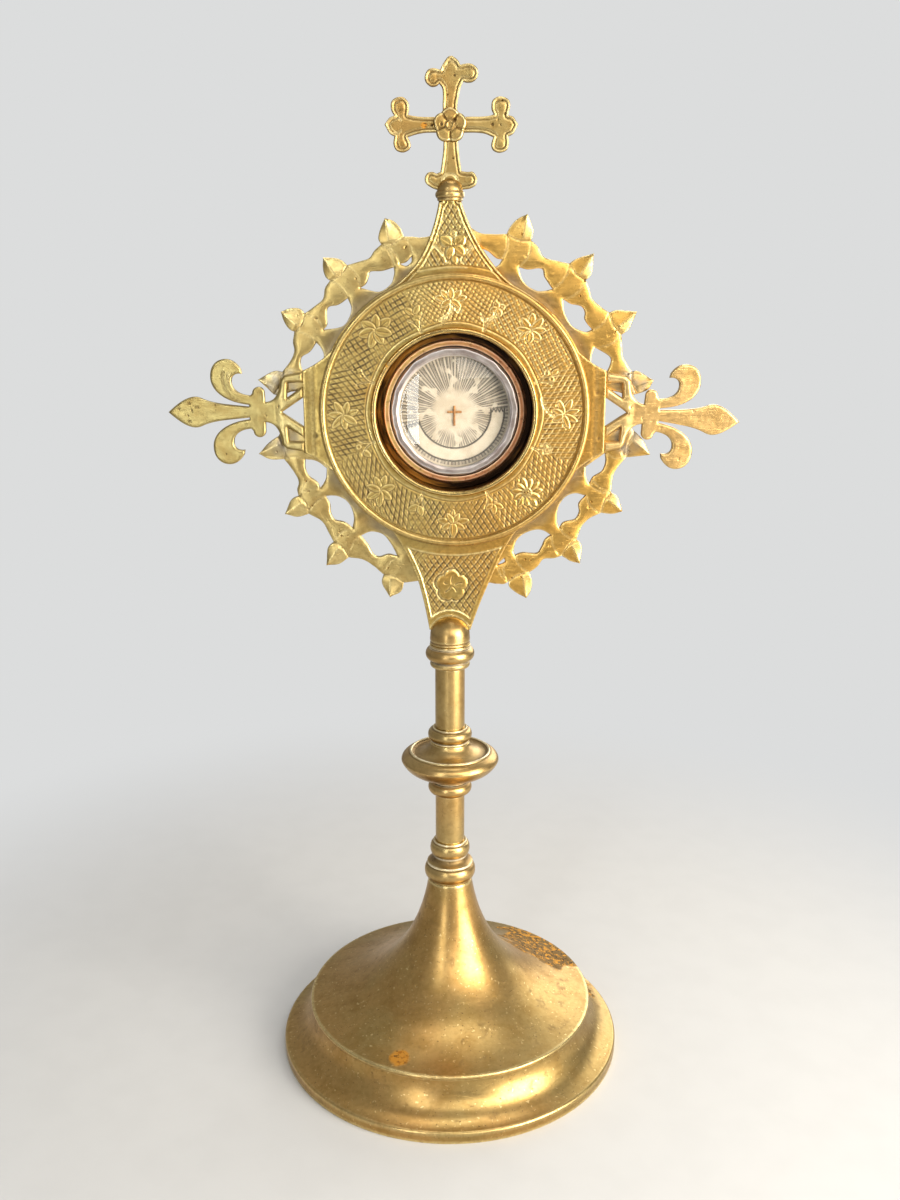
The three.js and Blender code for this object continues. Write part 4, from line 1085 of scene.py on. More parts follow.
stem_piece("collar_on_trumpet", collar_profile(), "lower_collar", (TUBE_RADIUS + 0.9, LOWER_TUBE_Z),
           (COLLAR_BEAD - 0.9, TRUMPET_Z + 6.4), (TUBE_RADIUS + 0.9, TRUMPET_Z + 9.2))
stem_piece("tube_below_knop", tube_profile(LOWER_TUBE_Z, KNOP_RING_Z), "lower_tube")
stem_piece("ring_below_knop", knop_ring_profile(), "knop_lower_ring", (TUBE_RADIUS + 1.5, KNOP_RING_Z + 4.8))
stem_piece("knop", knop_profile(), "knop_disc", (KNOP_LINE, KNOP_Z + 9.6))
stem_piece("ring_above_knop", knop_top_profile(), "knop_upper_ring", (TUBE_RADIUS + 0.9, UPPER_TUBE_Z),
           (TUBE_RADIUS + 1.5, TOP_RING_Z + 0.7))
stem_piece("tube_above_knop", tube_profile(UPPER_TUBE_Z, UPPER_COLLAR_Z), "upper_tube")
stem_piece("collar_under_dome", upper_collar_profile(), "upper_collar",
           (TUBE_RADIUS + 1.3, UPPER_COLLAR_Z + 2.3), (DOME_RADIUS + 0.2, UPPER_COLLAR_Z + 7.1))


# Slots cut in turned pieces

def block_mesh(low, high):
    corners = [[x, y, z] for x in (low[0], high[0]) for y in (low[1], high[1]) for z in (low[2], high[2])]
    faces = [(0, 1, 3, 2), (4, 6, 7, 5), (0, 4, 5, 1), (2, 3, 7, 6), (0, 2, 6, 4), (1, 5, 7, 3)]
    return mesh_of("cutter", corners, faces)


def slotted(mesh, blocks):
    """Cuts box-shaped slots from a closed mesh."""
    body = bpy.data.objects.new("work", mesh)
    bpy.context.scene.collection.objects.link(body)
    face_outwards(mesh)
    tools = []
    for low, high in blocks:
        cutter_mesh = block_mesh(low, high)
        face_outwards(cutter_mesh)
        tool = bpy.data.objects.new("cutter", cutter_mesh)
        bpy.context.scene.collection.objects.link(tool)
        tools.append(tool)
        modifier = body.modifiers.new("slot", "BOOLEAN")
        modifier.operation = "DIFFERENCE"
        modifier.solver = "EXACT"
        modifier.object = tool
    ready = body.evaluated_get(bpy.context.evaluated_depsgraph_get())
    result = bpy.data.meshes.new_from_object(ready)
    for tool in tools + [body]:
        bpy.data.objects.remove(tool)
    return result


def dome():
    skirt = DOME_Z + DOME_SKIRT
    profile = [[0, DOME_Z], [DOME_RADIUS - 0.3, DOME_Z], [DOME_RADIUS, DOME_Z + 0.5],
               [DOME_RADIUS - 0.3, DOME_Z + 1.0], [DOME_RADIUS, DOME_Z + 1.4],
               *arc([0, skirt], DOME_RADIUS, DOME_RADIUS, 0, 90, 24)]
    mesh = turned("dome", profile, turned_metal, "turned_brass", [], steps=112, corner=0.12, keep=True)
    half = PLATE_THICKNESS / 2 + SEAT
    mesh = slotted(mesh, [((-20, -half, SLOT_Z), (20, half, DOME_Z + 20))])
    finish_piece(mesh, "dome", turned_metal, ["dome_socket"])


def pin():
    """The tail pin's filed ends, flush with the dome."""
    profile = [[0, -DOME_RADIUS + 0.35], [PIN_RADIUS, -DOME_RADIUS + 0.4], [PIN_RADIUS, DOME_RADIUS - 0.4],
               [0, DOME_RADIUS - 0.35]]
    turned("pin_through_dome", profile, pin_metal, "turned_brass", ["tail_pin"], steps=24, about_y=True,
           place=(0, 0, DOME_Z + PIN_HEIGHT), corner=0.1)


dome()
pin()


# Head plate

def plate_outline():
    tail_end = SLOT_Z + SEAT - HEAD_Z
    half = [
        [DOME_RADIUS - 1.1, tail_end], [DOME_RADIUS - 1.1, -TAIL_DROP], [DOME_RADIUS + 0.1, -TAIL_DROP],
        *curve([DOME_RADIUS + 0.1, -TAIL_DROP], [DOME_RADIUS + 3.0, -TAIL_DROP + 11.9],
               [DOME_RADIUS + 7.0, -DISC_RADIUS - 4.3], polar(DISC_RADIUS, -TAIL_ROOT), 24),
        *arc([0, 0], DISC_RADIUS, DISC_RADIUS, -TAIL_ROOT, -WING_ROOT, 20)[1:],
        *curve(polar(DISC_RADIUS, -WING_ROOT), [WING_REACH - 6.5, -WING_HALF - 3.4],
               [WING_REACH - 3.0, -WING_HALF - 1.2], [WING_REACH, -WING_HALF], 10),
        [WING_REACH, WING_HALF],
        *curve([WING_REACH, WING_HALF], [WING_REACH - 3.0, WING_HALF + 1.2],
               [WING_REACH - 6.5, WING_HALF + 3.4], polar(DISC_RADIUS, WING_ROOT), 10),
        *arc([0, 0], DISC_RADIUS, DISC_RADIUS, WING_ROOT, PANEL_ROOT, 20)[1:],
        *curve(polar(DISC_RADIUS, PANEL_ROOT), [PANEL_TOP + 7.4, DISC_RADIUS + 1.0],
               [PANEL_TOP + 2.4, PANEL_RISE - 9.7], [PANEL_TOP, PANEL_RISE], 24),
        [TONGUE, PANEL_RISE], [TONGUE, PANEL_RISE + TONGUE_LENGTH],
    ]

    def drawn_back(point):
        x, z = point
        end = TAIL_DROP if z < 0 else PANEL_RISE
        return [x - HEAD_SHIFT * min(1, max(0, 1 - (end - abs(z)) / SHIFT_TAPER)), z]

    return [drawn_back(p) for p in half + mirrored(half)]


def upper_panel(g, edge, reach):
    """Raised flanks, a thin second line, a lattice with a clover, and a plain band over the drum.
    The flanks and the second line carry painted highlights, the band a painted glint, and a painted shadow
    runs beside the bead.
    """
    on = (g.z > PANEL_CLEAR) & (reach > DRUM_RADIUS)
    field = smooth_step(edge, 1.75, 2.05) * smooth_step(reach, 45.0, 45.4)
    field = field * smooth_step(PANEL_RISE - g.z, 0.7, 1.1) * on
    g.hatch(field, 57, -57, 1.75, 0.15, 0.9, 0.8, 11)
    axis = -HEAD_SHIFT * np.clip(1 - (PANEL_RISE - g.z) / SHIFT_TAPER, 0, 1)
    g.x = g.x - axis
    for x, z, angle, length, width in ((-0.5, 51.0, 146, 4.3, 3.2), (0.5, 51.0, 40, 4.2, 3.1),
                                       (0.3, 50.6, -42, 4.0, 2.9), (-0.3, 50.6, -118, 4.4, 2.4)):
        g.petal((x, z), angle, length, width, rise=0.22, bright=0.85, vein=0.35, line=0.6)
    g.petal((0, 47.9), -90, 2.7, 2.0, rise=0.2, bright=0.7, vein=0.0)
    g.boss((0.1, 54.3), 1.25, 0.25, 0.9)
    for side in (1, -1):
        g.cut([[side * 5.6, 50.6], [side * 2.6, 47.2], [side * 2.3, 46.0]], 0.24, 0.2, 0.3, 0.9)
    g.x = g.x + axis
    ridge = np.exp(-((edge - 0.55) / 0.42) ** 4) * on
    g.height += 0.34 * ridge
    # Painted highlights on the raised flank and, below, on the second line.
    g.brighten(0.9 * bump_at(edge - 0.55, 0.3) * on)
    g.height -= 0.16 * bump_at(edge - 1.15, 0.2) * on
    g.darken(0.55 * bump_at(edge - 1.15, 0.17) * on)
    g.height += 0.16 * bump_at(edge - 1.7, 0.24) * on
    g.brighten(0.75 * bump_at(edge - 1.7, 0.2) * on)
    band = bump_at(reach - 44.9, 0.22) * on * (edge > 1)
    g.height -= 0.16 * band
    g.darken(0.65 * band)
    # Painted glint on the left of the band.
    g.brighten(0.7 * bump_at(reach - 44.3, 0.22) * on * (edge > 1) * (g.x < 4))
    # Painted shadow beside the bead.
    g.darken(0.5 * bump_at(reach - 43.0, 0.3) * on)


def lower_panel(g, edge, reach):
    """A plain border with a bright inner bevel round a lattice and its five-lobed flower.
    The bevel carries a painted highlight, strongest on the left, the edges and a line round the dome carry
    painted highlights, and a painted shadow runs beside the bead.
    """
    on = (g.z < -PANEL_CLEAR) & (reach > DRUM_RADIUS)
    axis = -HEAD_SHIFT
    dome_reach = np.hypot(g.x - axis, g.z + HEAD_RISE - DOME_SKIRT)
    inner = np.minimum(np.minimum(edge - 1.45, reach - 46.4), dome_reach - 8.9)
    field = smooth_step(inner, 0.15, 0.5) * on
    g.hatch(field, 52, -55, 1.75, 0.15, 0.95, 0.6, 23)
    flower(g, (-0.9, -56.7), 5.4)
    bevel = np.exp(-((inner + 0.05) / 0.26) ** 2) * on
    g.height += 0.18 * smooth_step(-inner, -0.1, 0.2) * on
    # The bevel's painted highlight is stronger on the left side of the panel, and full round the dome and the
    # drum.
    leftward = np.clip(0.5 - (g.x - axis) * 0.08, 0.1, 1)
    g.brighten(bevel * np.maximum(leftward, (dome_reach < 9.4) | (reach < 46.9)))
    g.darken(0.75 * bump_at(inner - 0.35, 0.22) * on)
    g.brighten(0.95 * bump_at(dome_reach - 7.15, 0.3) * on)
    g.brighten(0.35 * bump_at(edge - 0.2, 0.3) * on)
    # Painted shadow beside the bead.
    g.darken(0.45 * bump_at(reach - 43.2, 0.5) * on)


def flower(g, centre, radius):
    """Five round lobes about a point, one upwards, with cuts between them and in the middle."""
    dx, dz = g.x - centre[0], g.z - centre[1]
    angle = np.arctan2(dz, dx)
    lobe = np.abs(np.cos((angle - math.pi / 2) * 2.5))
    rim = radius * (0.8 + 0.2 * lobe ** 0.8)
    edge = rim - np.hypot(dx, dz)
    within = smooth_step(edge, -0.05, 0.3)
    g.clear(within)
    g.height += within * 0.2 * smooth_step(edge, 0, 1.1)
    g.height -= 0.3 * bump_at(edge + 0.3, 0.28)
    g.darken(0.9 * bump_at(edge + 0.32, 0.26))
    # Painted highlight on the rim, strongest at its upper left, and another just outside the rim on the left
    # half.
    side = np.clip(0.6 - 0.5 * (dx - 0.6 * dz) / radius, 0.2, 1)
    g.brighten(side * bump_at(edge - 0.12, 0.26))
    g.brighten(0.6 * bump_at(edge + 0.75, 0.22) * (dx < 1))
    cuts = ((88, 0.6, 3.0), (18, 1.2, 3.4), (-48, 0.6, 2.5), (228, 0.7, 3.0), (160, 1.7, 2.6))
    for degrees, start, end in cuts:
        points = [polar(start, degrees), polar((start + end) / 2, degrees + 4), polar(end, degrees - 2)]
        g.cut([[centre[0] + x, centre[1] + z] for x, z in points], 0.2, 0.22, 0.85, 0.15)


def head_plate():
    outline = spaced(plate_outline(), 0.55)
    hole = WELL_RADIUS + WELL_WALL + 2 * SEAT
    opening = spaced(arc([0, 0], hole, hole, 0, 360, 96)[1:], 2.0)

    def in_panel(x, z):
        return (np.hypot(x, z) > 42.2) & ((z > 34) | ((z < -34) & (z > -74)))

    def elsewhere(x, z):
        return ~in_panel(x, z) & (np.hypot(x, z) > 41)

    def form(x, z, edge):
        g = Graving(x, z)
        reach = np.hypot(x, z)
        upper_panel(g, edge, reach)
        lower_panel(g, edge, reach)
        wing = (np.abs(z) < WING_CLEAR) & (reach > DRUM_RADIUS)
        # Two grooves across each wing, with a painted highlight beside the inner one, and painted highlights
        # along the wing's edge.
        for line, depth, dark, bright in ((45.9, 0.12, 0.35, 0.0), (44.5, 0.2, 0.55, 0.3)):
            groove = bump_at(np.abs(x) - line - 0.25 * wander(x, z, 30, 5), 0.28) * wing
            g.height -= depth * groove
            g.darken(dark * groove)
            g.brighten(bright * bump_at(np.abs(x) - line - 0.6, 0.25) * wing)
        g.brighten(0.5 * bump_at(edge - 0.15, 0.22) * wing)
        for px, pz in ((-46.4, 4.5), (-44.3, -1.5), (-44.0, -7.5), (45.2, 6.1), (46.0, -8.2)):
            g.pit((px, pz), 0.35)
        g.height += 0.05 * wander(x, z, 9, 3)
        return g.height, g.marks()

    mesh = relief("plate", outline, [opening], [(0.23, in_panel), (0.8, elsewhere)], PLATE_FRONT, PLATE_BACK,
                  form, rounding=0.28)
    finish_piece(moved(mesh, HEAD), "head_plate_graved", graved, ["head_plate"], sharp=42)


head_plate()


# Drum, ring, rim, bezel and well

def about_y(name, profile, metal, slot, nodes, **settings):
    """A round piece of the head."""
    return turned(name, profile, metal, slot, nodes, about_y=True, place=HEAD, **settings)


def ring_profile(inner, outer, front, back):
    return [[inner, front], [outer, front], [outer, back], [inner, back]]


# Crosshatch of the ring by sector: middle of the sector, the two directions, pitch, how dark its lines are,
# patina with painted shade that grows on the left, and how bright their painted highlights are, most on the
# right
SECTORS = (
    (90, 62, -38, 1.25, 0.35, 0.45),
    (45, 28, -62, 1.55, 0.4, 0.95),
    (0, 4, 58, 1.6, 0.45, 0.95),
    (-45, 84, -50, 1.6, 0.65, 0.55),
    (-90, 58, -57, 1.7, 0.85, 0.35),
    (-135, 82, -60, 1.55, 0.75, 0.3),
    (180, -48, 12, 1.6, 0.85, 0.25),
    (135, -58, 30, 1.65, 0.9, 0.25),
)


def ring_flowers(g):
    """The eight flowers, each its own, with the stems of two."""
    # Painted highlights on the outlines are strongest on the right-hand flowers; the cut outlines and veins
    # are painted darker on the left, as shade.
    g.petals((-1.2, 34.8), ((8, 5.0, 1.9), (172, 5.0, 1.9), (40, 4.2, 1.8), (140, 4.2, 1.8), (-38, 4.0, 1.7),
                            (218, 4.0, 1.7), (90, 3.6, 1.8)), bright=1.0, vein=0.4, line=0.45)
    g.cut([[-1.0, 33.4], [-1.2, 31.6], [-2.4, 29.9], [-4.6, 28.6]], 0.24, 0.16, 0.3, 0.95)
    g.cut([[-0.4, 33.2], [-0.5, 31.5], [-1.5, 29.4], [-3.9, 28.1]], 0.2, 0.14, 0.5, 0.4)
    g.cut([[0.2, 32.0], [1.0, 31.0], [1.9, 31.2], [1.9, 32.2]], 0.22, 0.14, 0.3, 0.9)
    g.petals((23.6, 25.0), ((85, 5.8, 2.3), (123, 5.2, 2.0), (48, 5.6, 2.1), (8, 4.8, 1.9), (165, 4.6, 1.7),
                            (-35, 4.0, 1.8), (212, 4.4, 1.7), (-100, 3.6, 2.0)),
             bright=1.0, vein=0.3, line=0.5)
    g.petals((34.3, -0.6), ((62, 5.6, 1.9), (18, 5.2, 1.8), (-24, 5.0, 1.8), (-66, 4.8, 1.7), (108, 5.0, 1.8),
                            (152, 4.0, 1.6), (205, 3.8, 1.6)), bright=0.9, vein=0.45, line=0.5)
    g.cut([[31.0, -0.8], [29.2, 0.6], [27.8, 2.6], [27.4, 4.6]], 0.24, 0.15, 0.4, 0.8)
    daisy(g, (23.3, -25.2))
    g.petals((-0.4, -35.2), ((12, 5.2, 1.9), (168, 5.2, 1.9), (-28, 4.2, 1.7), (208, 4.2, 1.7),
                             (90, 4.6, 1.5), (-90, 4.6, 2.2), (58, 3.8, 1.5), (122, 3.8, 1.5)),
             bright=0.55, vein=0.5, line=0.65)
    g.petals((-23.8, -24.6), ((70, 5.2, 2.0), (110, 4.8, 1.9), (18, 5.0, 2.0), (-40, 4.6, 2.0),
                              (-95, 5.4, 2.0), (-150, 5.0, 2.1), (158, 4.6, 1.8)),
             bright=0.4, vein=0.7, line=0.7)
    lengths = (5.0, 4.6, 5.2, 4.8, 5.4, 4.4, 4.9)
    leaves = [(20 + k * 360 / 7, length, 1.9) for k, length in enumerate(lengths)]
    g.petals((-35.0, -0.8), leaves, bright=0.5, vein=0.65, line=0.65)
    g.petals((-24.6, 25.4), ((38, 6.0, 2.7), (88, 5.0, 2.4), (148, 5.0, 2.5), (196, 5.4, 2.5),
                             (252, 5.6, 2.4), (300, 4.8, 2.2), (-10, 5.2, 2.5)),
             bright=0.4, vein=0.85, line=0.75)


def daisy(g, centre):
    leaves = [(10 + k * 360 / 11, 5.0 + 0.5 * math.sin(3 * k), 1.75) for k in range(11)]
    g.petals(centre, leaves, rise=0.28, bright=0.75, vein=0.0, shape=1.35, line=0.6)
    g.boss(centre, 1.7, 0.3)
    for x, z in ((-0.9, 0.1), (0.1, -0.1), (0.8, 0.35)):
        g.pit((centre[0] + x, centre[1] + z), 0.27)


def ring_sprigs(g):
    """The clover, the berries and the small leaves between the flowers."""
    for degrees in (20, 110, 200, 290):
        x, z = polar(1.5, degrees)
        g.petal((13.2, 32.0), degrees, 2.6, 1.9, bright=0.95, vein=0.0, line=0.4)
        g.boss((13.2 + x, 32.0 + z), 0.35, 0.0, 0.3)
    g.cut([[12.6, 30.4], [11.2, 29.0], [9.0, 28.4], [8.4, 29.2]], 0.24, 0.15, 0.3, 0.9)
    for x, z in ((28.7, 12.4), (30.3, 10.6)):
        g.boss((x, z), 1.0, 0.2, 0.95)
    g.petal((30.4, 12.0), 40, 2.6, 1.5, bright=0.6, vein=0.0)
    curl = [[27.6, -10.2], [29.0, -9.6], [30.2, -10.6], [30.0, -12.4], [28.6, -12.6], [28.2, -11.6]]
    g.cut(curl, 0.24, 0.15, 0.4, 0.6)
    g.petals((12.3, -29.0), ((-20, 3.6, 1.8), (-80, 3.4, 1.8), (215, 2.8, 1.5)), bright=0.45)
    g.petals((-11.4, -29.6), ((200, 3.8, 1.9), (-75, 3.4, 1.8)), bright=0.4)
    g.boss((-30.4, -10.6), 0.95, 0.15, 0.8)
    g.petal((-29.2, -11.8), -35, 3.2, 1.7, bright=0.5)
    for x, z in ((-31.4, 13.4), (-30.6, 12.4), (-28.9, 11.6)):
        g.pit((x, z), 0.4, 0.9, 0.2)
    g.petals((-12.6, 30.4), ((150, 3.4, 1.7), (60, 3.2, 1.6)), bright=0.35)


def ring_border(g, reach, angle):
    """The line that closes the field off, turning up into forked stems between the flowers."""
    swing = 0.22 * np.cos(8 * angle) + 0.12 * np.sin(5 * angle + 1)
    border = reach - FIELD_INNER - swing
    g.height -= 0.2 * bump_at(border, 0.24)
    g.darken(0.85 * bump_at(border, 0.2))
    # Painted highlight beside the border line.
    g.brighten(0.5 * bump_at(border + 0.5, 0.24))
    for k in range(8):
        middle = 22.5 + 45 * k + (-2, 3, 0, 2, -3, 1, 0, -1)[k]
        for side in (1, -1):
            line = [polar(26.9, middle + side * 0.4), polar(28.6, middle + side * 0.6),
                    polar(30.4, middle + side * 2.0), polar(31.8, middle + side * 4.4)]
            g.cut(line, 0.2, 0.16, 0.8, 0.35)


def ring_form(x, z):
    g = Graving(x, z)
    reach, angle = np.hypot(x, z), np.arctan2(z, x)
    field = smooth_step(reach, FIELD_INNER + 0.25, FIELD_INNER + 0.7)
    field *= smooth_step(reach, FIELD_OUTER, FIELD_OUTER - 0.4)
    degrees = np.degrees(angle)
    for k, (middle, first, second, pitch, dark, bright) in enumerate(SECTORS):
        off = np.abs((degrees - middle + 180) % 360 - 180)
        sector = field * smooth_step(off + 1.6 * wander(x, z, 9, 300 + k), 23.4, 21.6)
        part = Graving(x, z)
        # Each sector's painted shade and painted highlights follow where the light falls on it.
        part.hatch(sector, first, second, pitch, 0.14, 0.5 + 0.5 * dark, bright, 100 + 7 * k)
        g.height += part.height
        g.darken(part.tarnish_and_shade)
        g.brighten(part.wear_and_highlight)
    dots = wander(x, z, 1.3, 61) * wander(x, z, 1.1, 62) > 0.07
    stipple = field * smooth_step(np.abs(degrees - 98), 20, 14) * dots
    g.height -= 0.1 * stipple
    g.darken(0.3 * stipple)
    ring_flowers(g)
    ring_sprigs(g)
    ring_border(g, reach, angle)
    g.height -= 0.16 * bump_at(reach - FIELD_OUTER - 0.15, 0.2)
    g.darken(0.7 * bump_at(reach - FIELD_OUTER - 0.1, 0.18))
    g.height += 0.04 * wander(x, z, 12, 9)
    return g


def engraved_ring():
    columns = 1380
    inner = np.linspace(RING_INNER, FIELD_INNER - 0.6, 6)
    outer = np.linspace(FIELD_INNER - 0.4, DRUM_RADIUS - 0.6, 60)
    radii = np.concatenate([inner, outer, [DRUM_RADIUS]])
    angles = np.linspace(0, 2 * math.pi, columns, endpoint=False)
    spread, turn = np.meshgrid(radii, angles, indexing="ij")
    x, z = spread * np.cos(turn), spread * np.sin(turn)
    g = ring_form(x, z)
    front = np.stack([x, RING_FACE - g.height, z], -1)
    front[0, :, 1] = RING_FACE
    front[-1, :, 1] = RING_FACE
    back = np.stack([x[[-1, 0]], np.full((2, columns), RING_BACK), z[[-1, 0]]], -1)
    points = np.concatenate([front, back]).reshape(-1, 3)
    rows = len(radii) + 2
    marks = {key: np.concatenate([value, np.zeros((2, columns))]).ravel() for key, value in g.marks().items()}
    mesh = mesh_of("ring", points, grid_faces(rows, columns, True, True), marks)
    finish_piece(moved(mesh, HEAD), "engraved_ring", graved, ["face_ring"], sharp=50)


def rim_profile():
    outer, inner = DRUM_RADIUS + BEAD_STAND, DRUM_RADIUS - BEAD_LAP
    lip = RING_FACE - 0.05
    return [[DRUM_RADIUS + SEAT, PLATE_FRONT], [DRUM_RADIUS + SEAT, lip], [inner, lip],
            *arc([(inner + outer) / 2, lip], (outer - inner) / 2, BEAD_HEIGHT, 180, 360, 18),
            [outer, PLATE_FRONT]]


def bezel_profile():
    crest = RING_FACE - BEZEL_HEIGHT
    return [[WELL_RADIUS, RING_FACE], [WELL_RADIUS, crest + 0.4], [WELL_RADIUS + 0.4, crest],
            [WELL_RADIUS + BEZEL_WIDTH - 0.5, crest],
            [WELL_RADIUS + BEZEL_WIDTH, RING_FACE - BEZEL_HEIGHT / 2], [WELL_RADIUS + BEZEL_WIDTH, RING_FACE]]


def well_profile():
    return ring_profile(WELL_RADIUS, WELL_RADIUS + WELL_WALL, RING_FACE, CASE_BACK)


def case_profile():
    floor = CASE_BACK - CASE_WALL
    return [[CASE_RADIUS, PLATE_BACK], [CASE_RADIUS, CASE_BACK], [RING_INNER, CASE_BACK], [RING_INNER, floor],
            [CASE_RADIUS - CASE_WALL, floor], [CASE_RADIUS - CASE_WALL, PLATE_BACK]]


engraved_ring()
drum_wall = ring_profile(DRUM_RADIUS - DRUM_WALL, DRUM_RADIUS, RING_BACK, PLATE_FRONT)
about_y("drum", drum_wall, drum_metal, "sheet_brass", ["drum_wall"], steps=160)
about_y("rim_bead", rim_profile(), drum_metal, "polished_brass", ["bead_rim"], steps=240, corner=0.15,
        gap=0.5)
about_y("well_bezel", bezel_profile(), polished, "polished_brass", ["bezel"], steps=200, corner=0.22,
        gap=0.4)
about_y("well", well_profile(), well_wall_shaded, "polished_brass", ["well_tube"], steps=160, corner=0.1)
about_y("back_case", case_profile(), drum_metal, "sheet_brass", ["rear_case"], steps=160, corner=0.3)


# Leaf sprays

# Each spray was sawn and filed by hand, so each has its own line: points about the ring's middle, where
# a third value marks a sharp corner. The tips are the corners farthest out.
UPPER_RIGHT = [
    [3.4, 57.4, 1], [7.4, 54.7], [11.7, 54.2], [16.1, 54.3, 1], [17.1, 56.4], [19.2, 58.6],
    [22.3, 60.1, 1], [23.4, 57.7], [24.2, 55.1], [23.6, 52.3, 1], [25.7, 50.5], [27.7, 47.4],
    [32.2, 46.2], [35.6, 45.5, 1], [37.9, 47.0], [43.0, 48.5, 1], [42.8, 45.3], [42.5, 42.5],
    [40.8, 40.5, 1], [42.0, 37.7], [43.0, 34.9], [45.5, 32.7], [48.4, 30.7, 1], [51.1, 31.5],
    [57.0, 31.0, 1], [55.8, 28.1], [54.6, 25.6], [52.5, 24.0, 1], [52.8, 19.9], [53.5, 16.6],
    [56.2, 12.5, 1], [58.3, 12.7], [63.1, 9.9, 1], [61.5, 7.0], [57.9, 5.6, 1], [55.0, 5.0], [50.5, 6.5],
]
UPPER_RIGHT_WINDOWS = [
    [[8.2, 49.9, 1], [10.3, 49.2], [12.9, 47.1], [14.7, 46.7, 1], [13.9, 45.3], [12.8, 44.5, 1],
     [10.6, 46.2], [9.0, 48.0]],
    [[20.0, 44.5, 1], [22.7, 43.7], [27.0, 44.0], [27.9, 41.6], [30.5, 37.9, 1], [26.7, 37.2],
     [23.3, 38.4], [21.1, 40.7], [20.4, 42.5]],
    [[33.9, 34.7, 1], [36.6, 33.3], [39.7, 32.6], [40.8, 30.7], [40.8, 28.6], [43.2, 25.5, 1],
     [40.9, 24.9], [37.0, 26.6], [34.8, 29.8], [34.1, 32.4]],
    [[44.2, 20.1, 1], [46.9, 18.6], [49.3, 16.9], [49.2, 14.4], [47.6, 11.3, 1], [45.2, 12.5],
     [43.1, 14.4, 1], [43.3, 17.5]],
]
UPPER_LEFT = [
    [-4.4, 54.4, 1], [-9.5, 53.3], [-12.8, 53.4], [-15.6, 53.5, 1], [-16.6, 56.0], [-18.7, 58.0],
    [-21.3, 58.9, 1], [-22.7, 56.0], [-23.5, 53.0], [-22.6, 51.2, 1], [-24.9, 49.2], [-26.4, 47.1],
    [-29.5, 46.1], [-33.3, 45.0, 1], [-35.0, 46.5], [-37.1, 47.1], [-40.5, 47.3, 1], [-40.8, 44.6],
    [-40.1, 41.6], [-38.7, 40.4, 1], [-40.3, 38.2], [-41.0, 34.9], [-43.5, 32.8], [-46.9, 30.5, 1],
    [-48.5, 32.0], [-51.6, 32.0], [-54.2, 31.0, 1], [-53.4, 28.1], [-51.9, 25.8], [-50.3, 24.9, 1],
    [-50.8, 21.8], [-50.5, 18.9], [-51.7, 16.1], [-54.5, 12.5, 1], [-57.4, 12.7], [-62.2, 10.1, 1],
    [-59.8, 7.9], [-57.5, 5.5, 1], [-55.0, 5.0], [-50.5, 6.5],
]
UPPER_LEFT_WINDOWS = [
    [[-16.9, 45.4, 1], [-15.0, 45.9], [-13.3, 47.6, 1], [-13.4, 45.9], [-15.0, 44.8]],
    [[-18.8, 44.4, 1], [-18.8, 42.1], [-19.9, 39.3], [-23.5, 37.1], [-29.3, 38.2, 1], [-27.5, 39.5],
     [-26.6, 41.6], [-26.0, 43.1], [-22.4, 43.3]],
    [[-33.3, 35.1, 1], [-32.2, 32.1], [-33.2, 28.8], [-35.5, 26.4], [-41.1, 25.5, 1], [-39.9, 27.2],
     [-40.0, 30.0], [-39.4, 32.4], [-36.3, 33.1]],
    [[-43.5, 21.6, 1], [-42.0, 19.9], [-41.2, 17.3], [-42.8, 14.7], [-47.7, 12.3, 1], [-48.6, 14.2],
     [-48.3, 17.0], [-45.6, 18.7]],
]
LOWER_RIGHT = [
    [50.5, -6.0], [55.3, -4.0], [57.9, -6.3, 1], [60.5, -9.0], [63.0, -13.7, 1], [59.7, -14.2],
    [55.5, -14.6, 1], [52.9, -17.7], [51.4, -20.7], [50.9, -26.1, 1], [53.2, -27.7], [54.8, -32.2, 1],
    [51.7, -33.1], [47.9, -32.8, 1], [44.2, -34.6], [41.7, -37.4], [40.2, -41.6, 1], [41.9, -44.1],
    [41.4, -49.6, 1], [38.3, -48.9], [35.4, -47.1, 1], [32.7, -48.0], [29.4, -48.3], [27.4, -50.9],
    [24.9, -52.7, 1], [25.8, -56.1], [25.3, -59.3], [23.9, -61.4, 1], [20.7, -59.8], [18.3, -57.7],
    [18.1, -55.8, 1], [15.5, -56.8], [6.4, -55.4, 1],
]
LOWER_RIGHT_WINDOWS = [
    [[42.4, -17.7, 1], [45.8, -15.2], [48.6, -13.2, 1], [48.8, -16.4], [47.7, -19.2], [45.0, -20.9],
     [43.8, -23.1, 1], [42.9, -21.7], [42.4, -19.7]],
    [[42.6, -27.1, 1], [39.2, -26.3], [36.0, -27.7], [33.9, -31.0], [33.6, -35.4], [34.5, -37.8, 1],
     [35.8, -35.9], [39.4, -34.9], [40.7, -32.6], [40.5, -29.8]],
    [[31.7, -40.2, 1], [28.4, -38.4], [24.4, -39.0], [20.9, -41.3], [19.5, -45.1], [20.0, -47.0, 1],
     [22.5, -46.1], [27.1, -46.3], [28.6, -44.4], [29.7, -41.8]],
    [[16.4, -48.0, 1], [16.6, -49.4], [14.3, -50.4, 1], [15.2, -49.1]],
]
